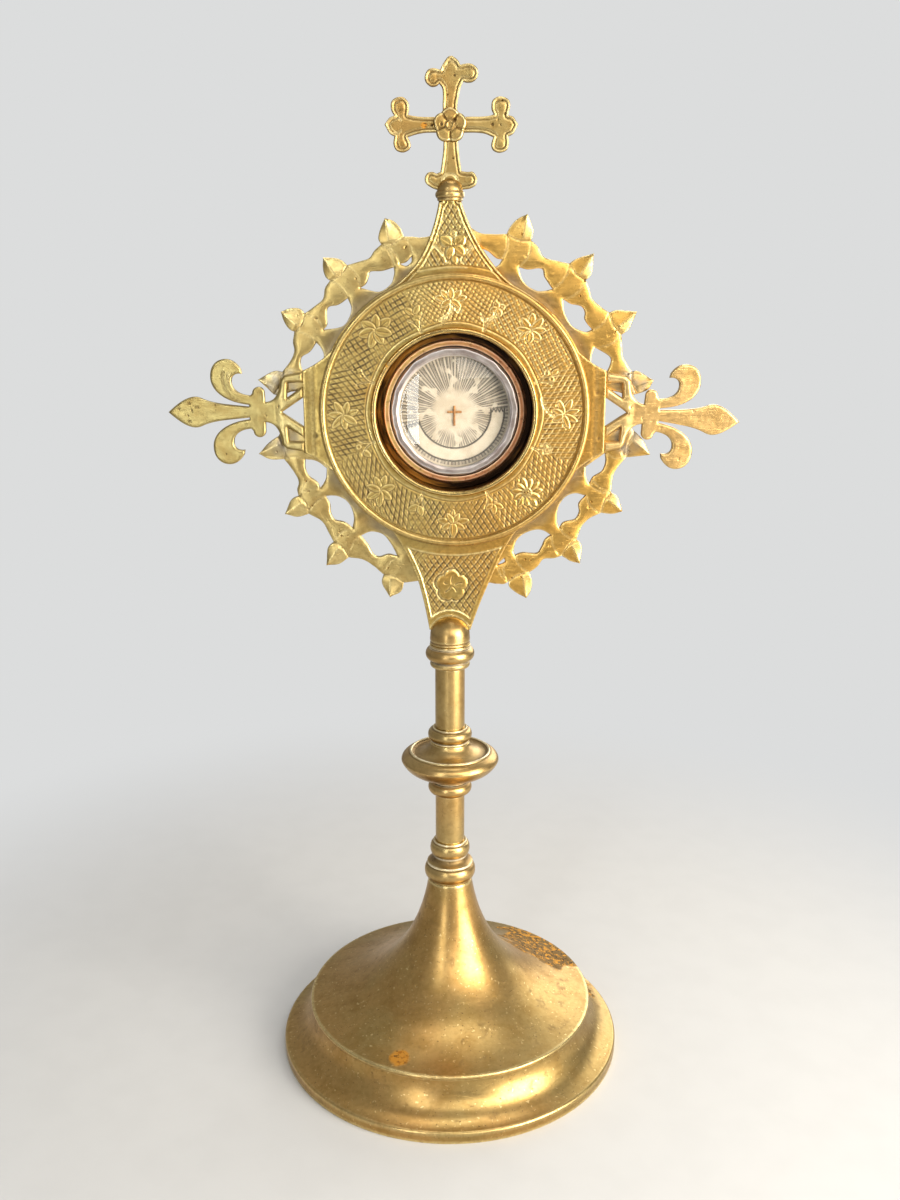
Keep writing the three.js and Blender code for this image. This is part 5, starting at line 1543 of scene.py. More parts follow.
LOWER_LEFT = [
    [-50.5, -6.0], [-54.2, -4.4], [-56.5, -7.8, 1], [-59.4, -9.7], [-62.9, -13.4, 1], [-59.6, -15.2],
    [-54.9, -15.2, 1], [-52.3, -18.7], [-50.5, -22.2], [-51.0, -25.0], [-50.6, -27.2, 1], [-53.1, -28.5],
    [-55.2, -33.1, 1], [-51.3, -34.1], [-47.5, -33.1, 1], [-43.3, -35.6], [-41.1, -39.5],
    [-39.6, -42.5, 1], [-41.6, -44.6], [-42.1, -50.2, 1], [-38.1, -49.9], [-34.8, -47.7, 1],
    [-30.5, -48.3], [-27.0, -50.3], [-23.4, -53.5, 1], [-23.9, -56.6], [-21.3, -61.1, 1], [-17.7, -59.3],
    [-16.7, -56.3, 1], [-8.4, -55.2, 1],
]
LOWER_LEFT_WINDOWS = [
    [[-48.1, -15.2, 1], [-44.2, -15.9], [-41.3, -18.2, 1], [-41.5, -21.2], [-42.5, -23.2],
     [-43.6, -24.7, 1], [-44.4, -22.7], [-47.1, -20.7], [-48.2, -17.9]],
    [[-41.8, -27.2, 1], [-38.1, -27.2], [-34.6, -29.3], [-32.8, -33.8], [-33.4, -37.8, 1], [-35.8, -35.9],
     [-39.0, -35.1], [-40.3, -32.8], [-40.5, -30.0]],
    [[-30.7, -40.4, 1], [-27.3, -39.0], [-23.3, -40.0], [-20.5, -43.6], [-18.7, -47.3, 1], [-21.8, -46.6],
     [-24.9, -47.5], [-26.9, -46.2], [-28.4, -43.3]],
]


def inner_edge(line):
    """The spray's edge behind the drum, back from the line's end to its start."""
    start, end = line[-1], line[0]
    first = math.degrees(math.atan2(start[1], start[0]))
    last = math.degrees(math.atan2(end[1], end[0]))
    return [[*p, 1] for p in arc([0, 0], SPRAY_INNER, SPRAY_INNER, first, last, 14)]


def rippled(points, amount, seed):
    """Small uneven waves along an edge that was filed by hand."""
    p = np.array(points)
    return np.stack([p[:, 0] + amount * wander(p[:, 0], p[:, 1], 3.2, seed),
                     p[:, 1] + amount * wander(p[:, 0], p[:, 1], 3.2, seed + 1)], 1).tolist()


def buds(line):
    """Each bud's two base corners with its tip between them."""
    corners = [p for p in line if len(p) > 2]
    tips = [i for i in range(1, len(corners) - 1) if math.hypot(*corners[i][:2]) > TIP_REACH]
    return [corners[i - 1:i + 2] for i in tips]


def spray(name, node, line, windows, fold, seed):
    outline = rippled(spaced(flowing(line + inner_edge(line)), 0.6), 0.06, seed)
    holes = [rippled(spaced(flowing(window), 0.6), 0.06, seed + 3) for window in windows]

    def form(x, z, edge):
        g = Graving(x, z)
        reach = np.hypot(x, z)
        g.height += 0.45 * (1 - np.exp(-edge / 1.1)) * smooth_step(reach, 44, 48)
        g.height += 0.1 * wander(x, z, 8, seed + 5)
        for left, tip, right in buds(line):
            bud(g, left, tip, right, fold)
        necks(g, line, windows)
        # Painted highlights along the edges, uneven as the light catches them, and painted shade beside the
        # drum and its bead.
        lit = np.clip(0.85 + 0.5 * wander(x, z, 9, seed + 7), 0.2, 1)
        g.brighten(0.95 * bump_at(edge - 0.1, 0.22) * lit)
        g.darken(0.55 * smooth_step(reach, 44.8, 42.8))
        draw = np.random.default_rng(seed)
        for _ in range(14):
            p = line[draw.integers(len(line))]
            spot = (p[0] * draw.uniform(0.88, 0.96), p[1] * draw.uniform(0.88, 0.96))
            g.pit(spot, draw.uniform(0.16, 0.34), 0.85)
        marks = g.marks()
        band = smooth_step(reach, 47.5, 45.0) * (0.55 + 0.6 * wander(x, z, 6, seed + 8))
        wing_end = smooth_step(np.hypot(np.abs(x) - 55.5, np.abs(z) - 8.5), 7.5, 3.5)
        marks["solder"] = np.clip(0.6 * band + wing_end * (0.6 + 0.5 * wander(x, z, 4, seed + 9)), 0, 0.85)
        return g.height, marks

    mesh = relief(name, outline, holes, [(0.4, everywhere)], -SPRAY_THICKNESS / 2, SPRAY_THICKNESS / 2,
                  form, rounding=0.24)
    centre = (HEAD[0], PLATE_BACK + SPRAY_THICKNESS / 2, HEAD[2])
    finish_piece(moved(mesh, centre), name, cast, [node], sharp=36)


def bud(g, left, tip, right, fold):
    """A bud is a small leaf: two facets meet in a ridge from its tip, and a curved fold closes its base.
    The ridge carries a painted highlight, and one facet is painted lighter, as lit.
    """
    a, t, b = (np.array(p[:2]) for p in (left, tip, right))
    base = a + (b - a) * fold
    along = (t - base) / np.linalg.norm(t - base)
    dx, dz = g.x - base[0], g.z - base[1]
    u = dx * along[0] + dz * along[1]
    v = -dx * along[1] + dz * along[0]
    length = np.linalg.norm(t - base)
    share = smooth_step(u, -0.9, 0.5) * (np.abs(v) < 5.5) * (u < length + 1)
    half = 4.6 * np.clip(1.1 - u / length, 0.08, 1)
    slope = np.clip(1 - np.abs(v) / half, 0, 1)
    g.height = g.height * (1 - share) + share * (0.1 + 0.7 * slope)
    g.brighten(0.75 * share * bump_at(v, 0.22) * (u < 0.9 * length))
    # One facet is painted lighter, as the light falls on it.
    lit_facet = (v > 0) if fold < 0.5 else (v < 0)
    g.brighten(0.38 * share * lit_facet * (np.abs(v) < 3.5))
    bow = [a + (b - a) * k / 8 - along * 0.9 * math.sin(math.pi * k / 8) for k in range(9)]
    g.cut(bow, 0.2, 0.2, 0.6, 0.35)


def necks(g, line, windows):
    """Creases where one leaf of the band ends and the next begins."""
    spots = [w[i][:2] for w in windows for i in range(len(w)) if len(w[i]) > 2]
    corners = [p[:2] for p in line if len(p) > 2 and 46 < math.hypot(*p[:2]) <= TIP_REACH]
    for spot in spots:
        near = min(corners, key=lambda p: math.dist(p, spot))
        if math.dist(near, spot) < 14:
            a, b = np.array(spot), np.array(near)
            across = np.array([b[1] - a[1], a[0] - b[0]]) * 0.12
            g.cut([a, (2 * a + b) / 3 + across, (a + 2 * b) / 3 + across, b], 0.18, 0.12, 0.4, 0.3)


spray("spray_upper_right", "wreath_upper_right", UPPER_RIGHT, UPPER_RIGHT_WINDOWS, 0.66, 210)
spray("spray_upper_left", "wreath_upper_left", UPPER_LEFT, UPPER_LEFT_WINDOWS, 0.66, 230)
spray("spray_lower_right", "wreath_lower_right", LOWER_RIGHT, LOWER_RIGHT_WINDOWS, 0.34, 250)
spray("spray_lower_left", "wreath_lower_left", LOWER_LEFT, LOWER_LEFT_WINDOWS, 0.34, 270)


# Fleurs-de-lis

def fleur_line():
    half = [
        [0, 4.6], [0, 8.2], [5.2, 4.6], [4.9, 9.2], [0, 9.4],
        [0, 12.6], [5.8, 11.6], [7.2, 10.2],
        *curve([7.2, 10.2], [7.5, 6.4], [8.8, 3.3], [12.2, 3.15], 12),
        *arc([14.2, 6.0], 1.95, 1.95, 180, 0, 14),
        *curve([16.15, 5.2], [19.4, 5.2], [22.6, 6.6], [22.6, 9.6], 14),
        *curve([22.6, 9.6], [22.6, 11.6], [21.1, 12.3], [19.2, 12.0], 10),
        *curve([19.1, 12.8], [20.5, 15.6], [22.5, 16.6], [24.2, 16.6], 12),
        *curve([24.2, 16.6], [27.4, 16.6], [29.2, 14.2], [29.2, 11.0], 14),
        *curve([29.2, 11.0], [29.2, 7.2], [26.0, 3.4], [17.3, 2.3], 20),
        [17.3, 1.7],
        *curve([17.3, 1.7], [23.9, 2.4], [28.4, 2.6], [FLEUR_LENGTH - 10.9, 4.2], 14),
        *curve([FLEUR_LENGTH - 10.9, 4.2], [FLEUR_LENGTH - 8.3, 5.6], [FLEUR_LENGTH - 5.3, 4.9],
               [FLEUR_LENGTH, 0], 16),
    ]
    return [[6.9, 0]] + half + [[x, -z] for x, z in reversed(half[:-1])]


def fleur(name, node, side, droop, folded, seed):
    """A fleur-de-lis with its struts; the form is worked out on the straight piece before it is bent."""
    outline = spaced(fleur_line(), 0.5)

    def form(x, z, edge):
        g = Graving(x, z)
        g.height -= 0.12 * (1 - smooth_step(edge, 0, 0.7))
        g.height += 0.09 * wander(x, z, 10, seed) + 0.03 * wander(x, z, 2.5, seed + 1)
        # Painted highlights along the edges, uneven as the light catches them.
        lit = np.clip(0.62 + 0.5 * wander(x, z, 8, seed + 2), 0.15, 1)
        g.brighten(0.95 * bump_at(edge - 0.1, 0.2) * lit)
        struts = smooth_step(x, 9.5, 6.5)
        g.height += 0.3 * struts * smooth_step(edge, 0, 0.9)
        # The raised struts are painted lighter inside their edges.
        g.brighten(0.35 * struts * smooth_step(edge, 0.5, 1.0))
        g.darken(0.3 * struts * bump_at(edge - 0.25, 0.25))
        if folded:
            g.cut([[24.9, 12.9], [25.2, 10.2], [24.6, 7.6], [22.9, 4.7], [20.2, 3.6]], 0.22, 0.16, 0.55, 0.15)
            g.cut([[23.4, 12.4], [23.5, 9.4], [22.2, 7.0], [19.4, 5.6]], 0.2, 0.12, 0.45, 0.4)
            for px, pz in ((36.2, 2.9), (35.4, 0.6), (36.8, -1.1), (36.2, -2.9), (33.6, 1.6), (39.4, 1.0)):
                g.pit((px, pz), 0.3)
        for px, pz in ((7.9, 2.0), (12.3, -2.1), (12.0, -1.2), (18.2, -3.8), (25.3, -13.2), (28.0, 2.2)):
            g.pit((px, pz), 0.26)
        return g.height, g.marks()

    mesh = relief(name, outline, [], [(0.42, everywhere)], PLATE_FRONT, PLATE_BACK, form, rounding=0.42)
    places = places_of(mesh)
    x, z = places[:, 0].copy(), places[:, 2].copy()
    angle = np.radians(-droop * np.clip((x - BEND_START) / 3, 0, 1))
    past = x > BEND_START
    places[:, 0] = np.where(past, BEND_START + (x - BEND_START) * np.cos(angle) - z * np.sin(angle), x)
    places[:, 2] = np.where(past, (x - BEND_START) * np.sin(angle) + z * np.cos(angle), z)
    places[:, 0] = side * (WING_REACH + places[:, 0])
    set_places(mesh, places)
    finish_piece(moved(mesh, HEAD), name, pierced, [node], sharp=42)


fleur("fleur_de_lis_right", "fleur_right", 1, FLEUR_DROOP, False, 310)
fleur("fleur_de_lis_left", "fleur_left", -1, 0, True, 330)


# Finial

def ball():
    profile = [[0, 0], [BALL_RADIUS - 0.9, 0], [BALL_RADIUS - 0.6, 0.3], [BALL_RADIUS - 0.6, 0.8],
               *arc([BALL_RADIUS - 0.6, 1.9], 0.6, 1.0, -90, 70, 12),
               *arc([0, 2.9], BALL_RADIUS - 0.45, BALL_HEIGHT - 2.9, 0, 90, 18)]
    profile = [[r, h + BALL_Z] for r, h in profile]
    mesh = turned("ball", profile, turned_metal, "turned_brass", [], steps=96, corner=0.12, gap=0.4,
                  keep=True)
    lower, upper, tongue = PLATE_THICKNESS / 2 + SEAT, CROSS_THICKNESS / 2 + SEAT, TONGUE + SEAT
    mesh = slotted(mesh, [
        ((-tongue, -lower, BALL_Z - 2), (tongue, lower, BALL_Z + TONGUE_LENGTH + SEAT)),
        ((-20, -upper, BALL_Z + CROSS_RISE - FOOT_CUT - SEAT), (20, upper, BALL_Z + 20))])
    finish_piece(mesh, "ball_under_cross", turned_metal, ["finial_ball"])


# The cross as it was filed, no two lobes alike: points about the crossing, a third value marks a sharp corner
CROSS_LINE = [
    [0.6, 19.3, 1], [2.2, 18.2], [3.1, 16.8, 1], [4.4, 17.1], [6.3, 17.1], [7.9, 16.1], [8.4, 14.8],
    [8.0, 13.2], [6.7, 12.2], [5.0, 12.0], [4.0, 12.3, 1], [3.2, 10.7], [2.6, 8.0], [2.2, 5.7],
    [2.2, 2.4, 1], [6.0, 2.5], [9.3, 2.5], [11.6, 2.7], [13.1, 3.2, 1], [12.4, 4.7], [12.6, 6.9],
    [14.1, 8.0], [15.9, 8.0], [17.5, 7.2], [18.0, 5.5], [17.4, 2.9, 1], [19.0, 2.4], [20.4, 0.3, 1],
    [19.1, -2.1], [17.5, -3.0, 1], [17.7, -4.9], [17.1, -6.8], [14.9, -7.6], [13.0, -6.9], [12.4, -5.3],
    [13.0, -3.2, 1], [10.5, -2.2], [7.9, -1.9], [5.2, -1.9], [2.2, -2.0, 1], [2.4, -4.2], [2.8, -8.5],
    [3.5, -12.9, 1], [5.3, -13.1], [7.0, -13.1], [8.2, -14.9], [7.8, -16.8], [6.1, -17.8], [4.0, -18.1],
    [2.1, -FOOT_CUT, 1], [-2.1, -FOOT_CUT, 1], [-4.2, -18.1], [-5.9, -17.4], [-7.4, -16.2], [-7.6, -14.7],
    [-6.8, -13.4], [-5.3, -13.1], [-4.1, -13.6, 1], [-2.9, -13.1, 1], [-2.4, -9.9], [-2.0, -6.3],
    [-2.0, -2.0, 1], [-5.2, -1.9], [-7.9, -2.0], [-10.5, -2.5], [-12.7, -3.2, 1], [-11.9, -4.9],
    [-12.1, -6.5], [-14.1, -7.5], [-16.2, -6.9], [-17.0, -5.1], [-16.7, -3.0, 1], [-18.2, -2.1],
    [-19.6, 0.3, 1], [-18.2, 2.1], [-16.7, 2.8, 1], [-17.6, 4.5], [-17.5, 6.6], [-16.0, 7.8],
    [-13.9, 7.9], [-12.5, 6.6], [-12.2, 4.9], [-12.5, 3.0, 1], [-10.5, 2.6], [-7.8, 2.4], [-5.2, 2.4],
    [-2.1, 2.4, 1], [-2.2, 5.9], [-2.1, 8.0], [-2.3, 10.4], [-3.2, 11.7, 1], [-4.1, 11.0], [-5.7, 10.9],
    [-7.2, 12.1], [-7.5, 13.6], [-6.7, 15.3], [-5.2, 15.9], [-2.9, 15.5, 1], [-2.2, 16.9], [-0.7, 18.9],
]
CROSS_LOBES = ((-5.3, 13.4), (6.2, 14.5), (15.2, 5.6), (15.0, -5.1), (5.9, -15.3), (-5.4, -15.3),
               (-14.5, -5.0), (-14.9, 5.3))
CROSS_PITS = ((-5.4, 0.1, 0.4), (12.7, 0.3, 0.45), (14.4, 1.6, 0.3), (15.1, 0.2, 0.28), (15.6, 7.1, 0.26),
              (16.5, 3.2, 0.38), (1.4, 14.0, 0.35), (-0.8, 8.5, 0.22), (1.0, -9.2, 0.24))


def cross_form(x, z, edge):
    """A raised border with a painted highlight and a groove inside it, circles in the lobes, and pits."""
    g = Graving(x, z)
    lit = np.clip(0.8 + 0.5 * wander(x, z, 7, 402), 0.3, 1)
    g.height += 0.2 * np.exp(-((edge - 0.45) / 0.42) ** 4)
    # Painted highlights on the raised border and inside the groove.
    g.brighten(0.9 * bump_at(edge - 0.42, 0.3) * lit)
    g.height -= 0.16 * bump_at(edge - 1.05, 0.22)
    g.darken(0.62 * bump_at(edge - 1.05, 0.2) * np.clip(0.8 + 0.5 * wander(x, z, 5, 401), 0.2, 1))
    g.brighten(0.4 * bump_at(edge - 1.4, 0.2) * lit)
    for cx, cz in CROSS_LOBES:
        distance = np.hypot(x - cx, z - cz)
        g.height += 0.12 * smooth_step(1.5 - distance, 0, 0.9)
        g.darken(0.3 * bump_at(distance - 1.5, 0.16))
    for cx, cz, radius, start, end in ((-16.5, 0, 2.3, 40, 320), (0.0, 15.6, 2.1, 0, 180)):
        g.cut(arc([cx, cz], radius, radius, start, end, 20), 0.2, 0.14, 0.7, 0.45)
    g.cut(arc([0, -16.0], 2.3, 2.3, 10, 170, 14), 0.22, 0.12, 0.4, 0.9)
    for cx, cz, radius in CROSS_PITS:
        g.pit((cx, cz), radius)
    g.height += 0.05 * wander(x, z, 6, 405)
    return g.height, g.marks()


def cross():
    outline = spaced(flowing(CROSS_LINE), 0.42)
    mesh = relief("cross", outline, [], [(0.27, everywhere)], -CROSS_THICKNESS / 2, CROSS_THICKNESS / 2,
                  cross_form, rounding=0.3)
    finish_piece(moved(mesh, CROSS_PLACE), "cross", cross_metal, ["finial_cross"])


def rosette_form(x, z, edge):
    """Five petals with turned-up rims about a round eye, with painted highlights on the rims and the eye."""
    g = Graving(x, z)
    reach, angle = np.hypot(x, z), np.arctan2(z, x)
    between = np.abs(np.cos((angle - math.pi / 2) * 2.5))
    g.height += 0.3 * between ** 0.5 * smooth_step(edge, 0, 0.8) * smooth_step(reach, 1.3, 2.4)
    g.height += 0.2 * np.exp(-((edge - 0.45) / 0.3) ** 2)
    g.brighten(0.95 * bump_at(edge - 0.4, 0.26))
    g.darken(0.5 * bump_at(edge - 0.95, 0.22))
    g.darken(0.6 * smooth_step(between, 0.3, 0.08) * (reach > 1.7))
    g.height -= 0.25 * smooth_step(between, 0.35, 0.05) * (reach > 1.7)
    g.height += 0.7 * smooth_step(1.45 - reach, 0, 0.4)
    g.darken(0.7 * bump_at(reach - 1.6, 0.2))
    g.brighten(0.9 * bump_at(reach - 1.2, 0.2))
    g.height -= 0.25 * smooth_step(0.9 - reach, 0, 0.3)
    g.pit((-2.6, 0.3), 0.5)
    g.pit((1.4, 1.5), 0.55)
    return g.height, g.marks()


def rosette():
    outline = []
    for i in range(150):
        angle = 360 * i / 150
        swell = abs(math.cos(math.radians(angle - 90) * 2.5))
        outline.append(polar(BOSS_RADIUS * (0.86 + 0.14 * swell), angle))
    front = -CROSS_THICKNESS / 2 - BOSS_THICKNESS
    mesh = relief("rosette", spaced(outline, 0.3), [], [(0.2, everywhere)], front, -CROSS_THICKNESS / 2,
                  rosette_form, rounding=0.3)
    finish_piece(moved(mesh, CROSS_PLACE), "rosette_on_cross", cross_metal, ["cross_rosette"])


ball()
cross()
rosette()


# Theca, turned a little in the well

def theca_round(name, profile, metal, slot, nodes, **settings):
    return turned(name, profile, metal, slot, nodes, body="theca", about_y=True, place=HEAD, turn=-THECA_TURN,
                  **settings)


def carrier_profile():
    flange = CARRIER_NOSE_LENGTH + CARRIER_FLANGE
    bore, wide = THECA_RADIUS + 2 * SEAT, WELL_RADIUS - 0.25
    back = THECA_DEPTH - SEAT
    return [[bore, 0], [CARRIER_NOSE - 0.4, 0], [CARRIER_NOSE, 0.4], [CARRIER_NOSE, CARRIER_NOSE_LENGTH],
            [wide, CARRIER_NOSE_LENGTH], [wide, flange], [CARRIER_NOSE, flange], [CARRIER_NOSE, back],
            [bore, back]]


def sight_ring():
    """The grey ring that holds the glass, uneven where it was pressed over by hand."""
    rim, lip = GLASS_BACK - 0.05, GLASS_FRONT - 0.05
    profile = [[THECA_RADIUS, rim], [GLASS_SEAT + 0.1, rim], [GLASS_SEAT + 0.1, lip], [SIGHT_RADIUS, lip],
               [SIGHT_RADIUS, lip - 0.6], [SIGHT_RADIUS + 0.8, lip - 1.0], [THECA_RADIUS - 0.6, lip - 1.0],
               [THECA_RADIUS, lip]]
    mesh = theca_round("ring", profile, silvered, "silvered", [], steps=220, corner=0.18, gap=0.35, keep=True)
    places = places_of(mesh)
    angle = np.arctan2(places[:, 2] - HEAD[2], places[:, 0] - HEAD[0])
    front = smooth_step(-places[:, 1], 0.1, 0.9)
    wobble = 0.09 * np.sin(14 * angle + 1.2) + 0.07 * np.sin(23 * angle) + 0.05 * np.sin(9 * angle + 0.4)
    places[:, 0] += front * wobble * np.cos(angle)
    places[:, 2] += front * wobble * np.sin(angle)
    places[:, 1] += 0.05 * front * np.sin(17 * angle)
    set_places(mesh, places)
    finish_piece(mesh, "sight_ring", silvered, ["theca_bezel"], body="theca")


def glass_dome():
    edge = SIGHT_RADIUS - 0.2
    top = [[edge * i / 20, GLASS_FRONT - GLASS_RISE * (1 - (i / 20) ** 2)] for i in range(21)]
    rim, back = GLASS_SEAT - 0.1, GLASS_BACK - 0.02
    profile = [*top, [rim, GLASS_FRONT], [rim, back], [0, back]]
    theca_round("domed_glass", profile, glass, "glass", ["theca_glass"], steps=128, corner=0.1, gap=1.4,
                sharp=30)


def card_ink(reach, degrees):
    """Engraved rays round the card, broken by eight pale wavy flames and fading to a pale middle."""
    angle = np.radians(degrees)
    x, z = reach * np.cos(angle), reach * np.sin(angle)
    ink = np.zeros_like(reach)
    for count, phase, share in ((92, 0.0, 1.0), (61, 1.3, 0.55)):
        drift = 0.9 * wander(x, z, 9, 500 + count) + phase
        line = smooth_step(np.cos(count * angle + drift), -0.35, 0.75)
        broken = np.clip(1.05 + 0.9 * wander(x, z, 4.5, 520 + count), 0.1, 1)
        ink = np.maximum(ink, share * line * broken)
    flame = np.zeros_like(reach)
    for k in range(8):
        middle = 90 + 45 * k + 4.0 * np.sin(reach * 1.1 + k)
        off = np.abs((degrees - middle + 180) % 360 - 180)
        wide = 7.0 * smooth_step(16.0 - reach, 0, 8) + 2.4 * np.sin(reach * 2.1 + 2 * k) - 1
        flame = np.maximum(flame, smooth_step(wide - off, -1.2, 1.2) * (reach < 16.2))
    ring = smooth_step(reach, 17.35, 17.0)
    lower = 0.7 + 0.3 * smooth_step(np.sin(angle), -0.8, 0.4)
    ink = (1.1 * ink + 0.16) * (1 - 0.9 * flame) * smooth_step(reach, 5.2, 8.6) * ring * lower
    faint = 0.12 * np.clip(np.cos(60 * angle + wander(x, z, 4, 7)), 0, 1) * smooth_step(reach, 2.0, 6.0)
    return np.maximum(ink, faint * ring)


def printed_card():
    rings, columns = 62, 900
    radii = np.linspace(0.15, GLASS_SEAT - 0.1, rings)
    angles = np.linspace(0, 360, columns, endpoint=False)
    reach, degrees = np.meshgrid(radii, angles, indexing="ij")
    ink = card_ink(reach, degrees)
    turn = np.radians(degrees)
    sag = 0.03 * wander(reach * np.cos(turn), reach * np.sin(turn), 12, 8)
    front = np.stack([reach * np.cos(turn), CARD_FRONT + sag - sag.max(), reach * np.sin(turn)], -1)
    rim = front[-1:].copy()
    rim[..., 1] = CARD_FRONT + 0.4
    points = np.concatenate([front, rim]).reshape(-1, 3)
    middle, back = [0, CARD_FRONT - sag.max(), 0], [0, CARD_FRONT + 0.4, 0]
    points, faces = capped(points, rings + 1, columns, middle, back)
    mesh = mesh_of("card", points, faces, {"ink": np.concatenate([ink.ravel(), np.zeros(columns + 2)])})
    finish_piece(moved(mesh, HEAD, -THECA_TURN), "printed_card", card, ["paper_card"], body="theca")


def banner():
    """A crescent of paper with toothed ends, left plain inside its printed edge."""
    outer, inner = BANNER_OUTER, BANNER_INNER
    outline = arc([0, 0], outer, outer, BANNER_START, BANNER_END, 60)
    for i in range(1, 2 * BANNER_TEETH):
        across = outer + (inner - outer) * i / (2 * BANNER_TEETH)
        outline.append(polar(across, BANNER_END - i % 2 * TOOTH_TURN))
    outline += arc([0, 0], inner, inner, BANNER_END, BANNER_START, 52)
    for i in range(1, 2 * BANNER_TEETH):
        across = inner + (outer - inner) * i / (2 * BANNER_TEETH)
        outline.append(polar(across, BANNER_START + i % 2 * TOOTH_TURN))

    def form(x, z, edge):
        radius = np.hypot(x, z)
        border = np.minimum(outer - radius, radius - inner)
        ink = np.maximum(smooth_step(edge, 0.44, 0.28), smooth_step(border, 0.62, 0.46))
        return np.zeros_like(x), {"ink": ink}

    mesh = relief("banner", spaced(outline, 0.3), [], [(0.22, everywhere)], CARD_FRONT - 0.2, CARD_FRONT,
                  form, rounding=0.08)
    mesh = moved(mesh, HEAD, -THECA_TURN)
    finish_piece(mesh, "banner_on_card", banner_paper, ["paper_banner"], body="theca")


def relic():
    """A splinter cross: two thin hewn bars."""
    half = 0.35
    line = [[-half, -4.4], [half, -4.4], [half * 0.9, -0.5], [2.3, -0.45], [2.25, 0.2], [half, 0.2],
            [half * 1.1, 1.8], [-half, 1.75], [-half, 0.22], [-2.3, 0.15], [-2.2, -0.5], [-half * 1.1, -0.5]]

    def form(x, z, edge):
        return 0.12 * smooth_step(edge, 0, 0.25) + 0.03 * wander(x, z, 0.8, 3), {"tarnish_and_shade": 0 * x}

    mesh = relief("relic", spaced(line, 0.16), [], [(0.12, everywhere)], CARD_FRONT - 0.55, CARD_FRONT - 0.02,
                  form, rounding=0.09)
    finish_piece(moved(mesh, HEAD), "relic_splinters", wood, ["relic_cross"], body="theca")


def seal():
    """Poured wax with an uneven edge, pressed flat, left plain."""
    front = THECA_DEPTH + LID_THICKNESS
    columns = 96
    middle = np.linspace(0.2, SEAL_RADIUS - 1.3, 12)
    radii = np.concatenate([middle, np.linspace(SEAL_RADIUS - 1.0, SEAL_RADIUS, 9)])
    angles = np.linspace(0, 2 * math.pi, columns, endpoint=False)
    reach, turn = np.meshgrid(radii, angles, indexing="ij")
    uneven = 1 + 0.03 * np.sin(3 * turn + 1) + 0.018 * np.sin(7 * turn)
    x, z = reach * np.cos(turn) * uneven * 0.95, reach * np.sin(turn) * uneven * 0.95
    share = reach / SEAL_RADIUS
    height = SEAL_THICKNESS * np.clip(1 - share ** 6, 0, 1) * (0.72 + 0.28 * smooth_step(share, 0.62, 0.8))
    back = np.stack([x, front + height, z], -1).reshape(-1, 3)
    points, faces = capped(back, len(radii), columns, [0, front + 0.72 * SEAL_THICKNESS, 0], [0, front, 0])
    mesh = moved(mesh_of("seal", points, faces), HEAD, -THECA_TURN)
    finish_piece(mesh, "poured_seal", wax, ["wax_seal"], body="theca")


def lid_profile():
    inner, back = GLASS_SEAT - 0.2, THECA_DEPTH + LID_THICKNESS
    return [[0, THECA_DEPTH - 1.0], [inner, THECA_DEPTH - 1.0], [inner, THECA_DEPTH],
            [LID_RADIUS, THECA_DEPTH], [LID_RADIUS, back], [0, back]]


theca_round("copper_carrier", carrier_profile(), copper, "copper", ["theca_carrier"], steps=180, corner=0.18,
            gap=0.5)
sight_ring()
glass_dome()
printed_card()
banner()
relic()
seal()
theca_round("back_lid", lid_profile(), silvered, "silvered", ["theca_lid"], steps=128, corner=0.15, gap=1.6)


# Finishes of the nodes that stay as they are
for metal, nodes in (
    (steel, ("clamp_washer", "tie_rod_nut", "tie_rod", "hinge_pin")),
    (well_wall_shaded, ("stop_ring",)),
    (sheet_metal, ("retaining_ring", "case_hinge", "rear_door", "door_spring", "door_tab")),
    (silvered, ("theca_case",)),
    (pad_paper, ("backing_pad",)),
):
    for node in nodes:
        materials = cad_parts[node].data.materials
        materials.clear()
        materials.append(metal)


# Stage, light and camera

# The surroundings: their colour, how bright the camera sees them, how much light they give the object,
# and how much more the metal and the glass mirror
PALE = "dcdddd"
SEEN = 1.0
GIVEN = 0.34
MIRRORED = 0.2
FLOOR_RADIUS = 4200
FADE_START = 120
FADE_END = 340

# The photograph's camera: focal length and picture height in the picture's points, place in metres, tilt
FOCAL_POINTS = 1180.4
PICTURE_POINTS = 1200
SENSOR = 36
CAMERA_PLACE = (0, -0.3785, 0.2641)
CAMERA_DOWN = 14.884


def pale_ground():
    """Pale floor that fades into the surroundings all round the object, to the camera only."""
    r = Recipe("pale floor")
    colour = r.mix(r.span(r.noise(14, 3), 0.35, 0.7), tone("c5c4c2"), tone("c3c2c0"))
    away = r.node("ShaderNodeVectorMath", {0: r.place}, operation="LENGTH").outputs["Value"]
    seen = r.node("ShaderNodeLightPath").outputs["Is Camera Ray"]
    share = r.times(r.span(away, FADE_START, FADE_END), seen)
    far = r.node("ShaderNodeEmission", {"Color": tone(PALE), "Strength": SEEN}).outputs[0]
    r.set(Base_Color=colour, Roughness=0.9)
    both = r.node("ShaderNodeMixShader", {0: share, 1: r.shader.outputs[0], 2: far}).outputs[0]
    r.tree.links.new(both, r.tree.nodes["Material Output"].inputs["Surface"])
    return r.material


def floor():
    count = 96
    points = [[0, 0, 0]] + [[*polar(FLOOR_RADIUS, 360 * i / count), 0] for i in range(count)]
    faces = [(0, i + 1, (i + 1) % count + 1) for i in range(count)]
    mesh = mesh_of("floor", points, faces)
    mesh.materials.append(pale_ground())
    ground = bpy.data.objects.new("floor", mesh)
    bpy.context.scene.collection.objects.link(ground)


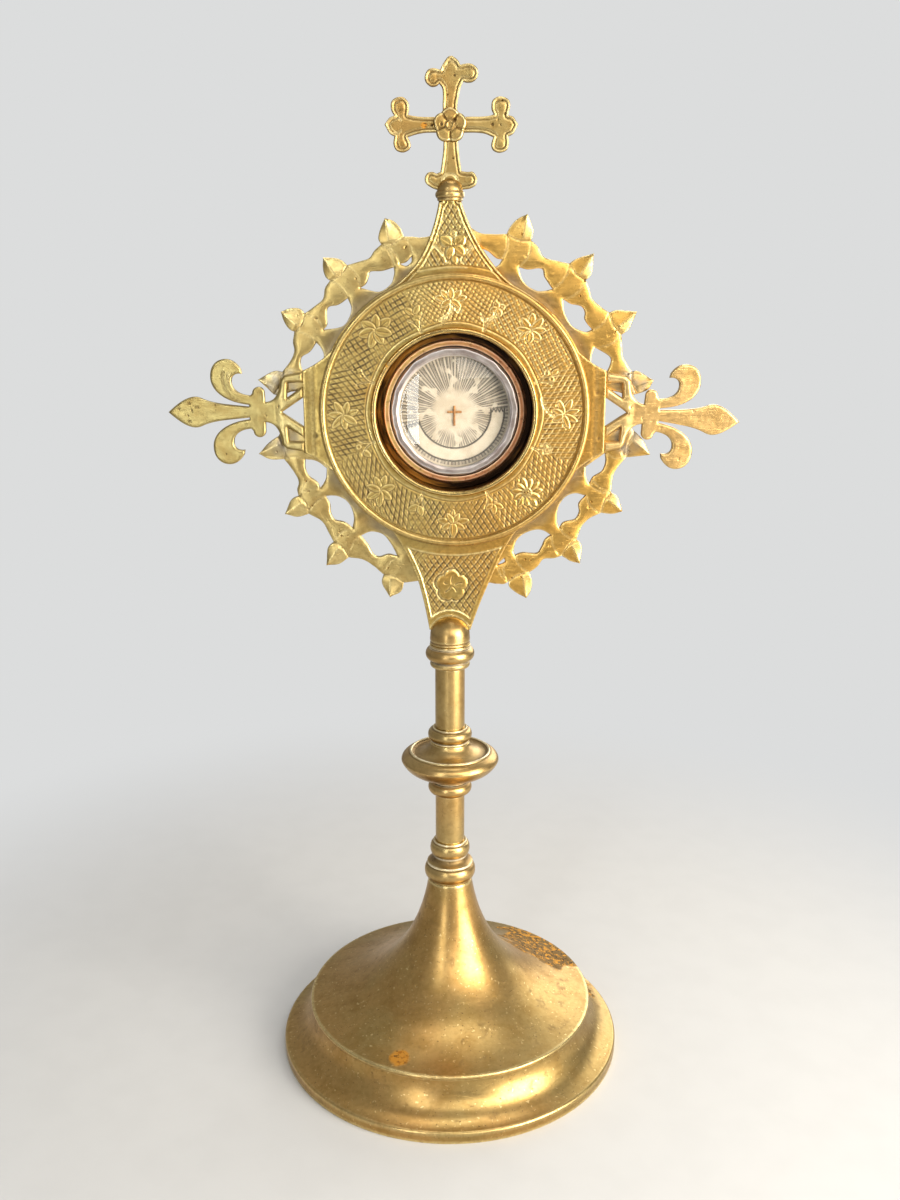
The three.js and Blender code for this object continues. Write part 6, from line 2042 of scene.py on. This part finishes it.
def softbox(name, place, aim, width, height, power, colour):
    """A rectangular lamp, with its place, aim and size in metres and its power in watts."""
    light = bpy.data.lights.new(name, "AREA")
    light.shape = "RECTANGLE"
    light.size, light.size_y = width, height
    light.energy = power
    light.color = colour
    box = bpy.data.objects.new(name, light)
    box.location = place
    box.rotation_euler = (Vector(aim) - Vector(place)).to_track_quat("-Z", "Y").to_euler()
    box.visible_camera = False
    bpy.context.scene.collection.objects.link(box)


def backdrop():
    """Even pale surroundings: brightest to the camera, dimmer in the metal and glass, dimmest as light."""
    world = bpy.data.worlds.new("studio")
    bpy.context.scene.world = world
    world.use_nodes = True
    bench = Bench(world.node_tree)
    shade = world.node_tree.nodes["Background"]
    path = bench.node("ShaderNodeLightPath")
    glossy, through = path.outputs["Is Glossy Ray"], path.outputs["Is Transmission Ray"]
    strength = bench.plus(GIVEN, bench.times(path.outputs["Is Camera Ray"], SEEN - GIVEN))
    strength = bench.plus(strength, bench.times(bench.reckon("MAXIMUM", glossy, through), MIRRORED))
    shade.inputs["Color"].default_value = tone(PALE)
    world.node_tree.links.new(strength, shade.inputs["Strength"])


def studio():
    floor()
    backdrop()
    softbox("right softbox", (0.46, -0.34, 0.22), (0, 0, 0.1), 0.36, 0.55, 7.0, (1.0, 0.95, 0.86))
    softbox("left strip", (-0.17, -0.42, 0.27), (0, 0, 0.2), 0.05, 0.5, 0.7, (0.9, 0.96, 1.0))
    softbox("front fill", (0.28, -0.72, 0.62), (0, 0, 0.08), 0.6, 0.5, 2.8, (1.0, 0.96, 0.9))
    softbox("overhead softbox", (0.05, 0.1, 0.95), (0, 0, 0.1), 0.5, 0.4, 2.6, (1.0, 0.98, 0.95))
    softbox("back softbox", (0.42, 0.62, 0.42), (0, 0, 0.12), 0.6, 0.5, 2.8, (1.0, 0.97, 0.92))


def photo_camera():
    """The photograph's angle, worked out from the ellipses of the foot, knop and ring."""
    camera = bpy.data.cameras.new("camera")
    camera.lens = SENSOR * FOCAL_POINTS / PICTURE_POINTS
    camera.sensor_width = SENSOR
    camera.clip_start = 0.01
    view = bpy.data.objects.new("camera", camera)
    view.location = CAMERA_PLACE
    view.rotation_euler = (math.radians(90 - CAMERA_DOWN), 0, 0)
    bpy.context.scene.collection.objects.link(view)
    bpy.context.scene.camera = view


studio()
photo_camera()
bpy.context.scene.view_settings.view_transform = "Standard"
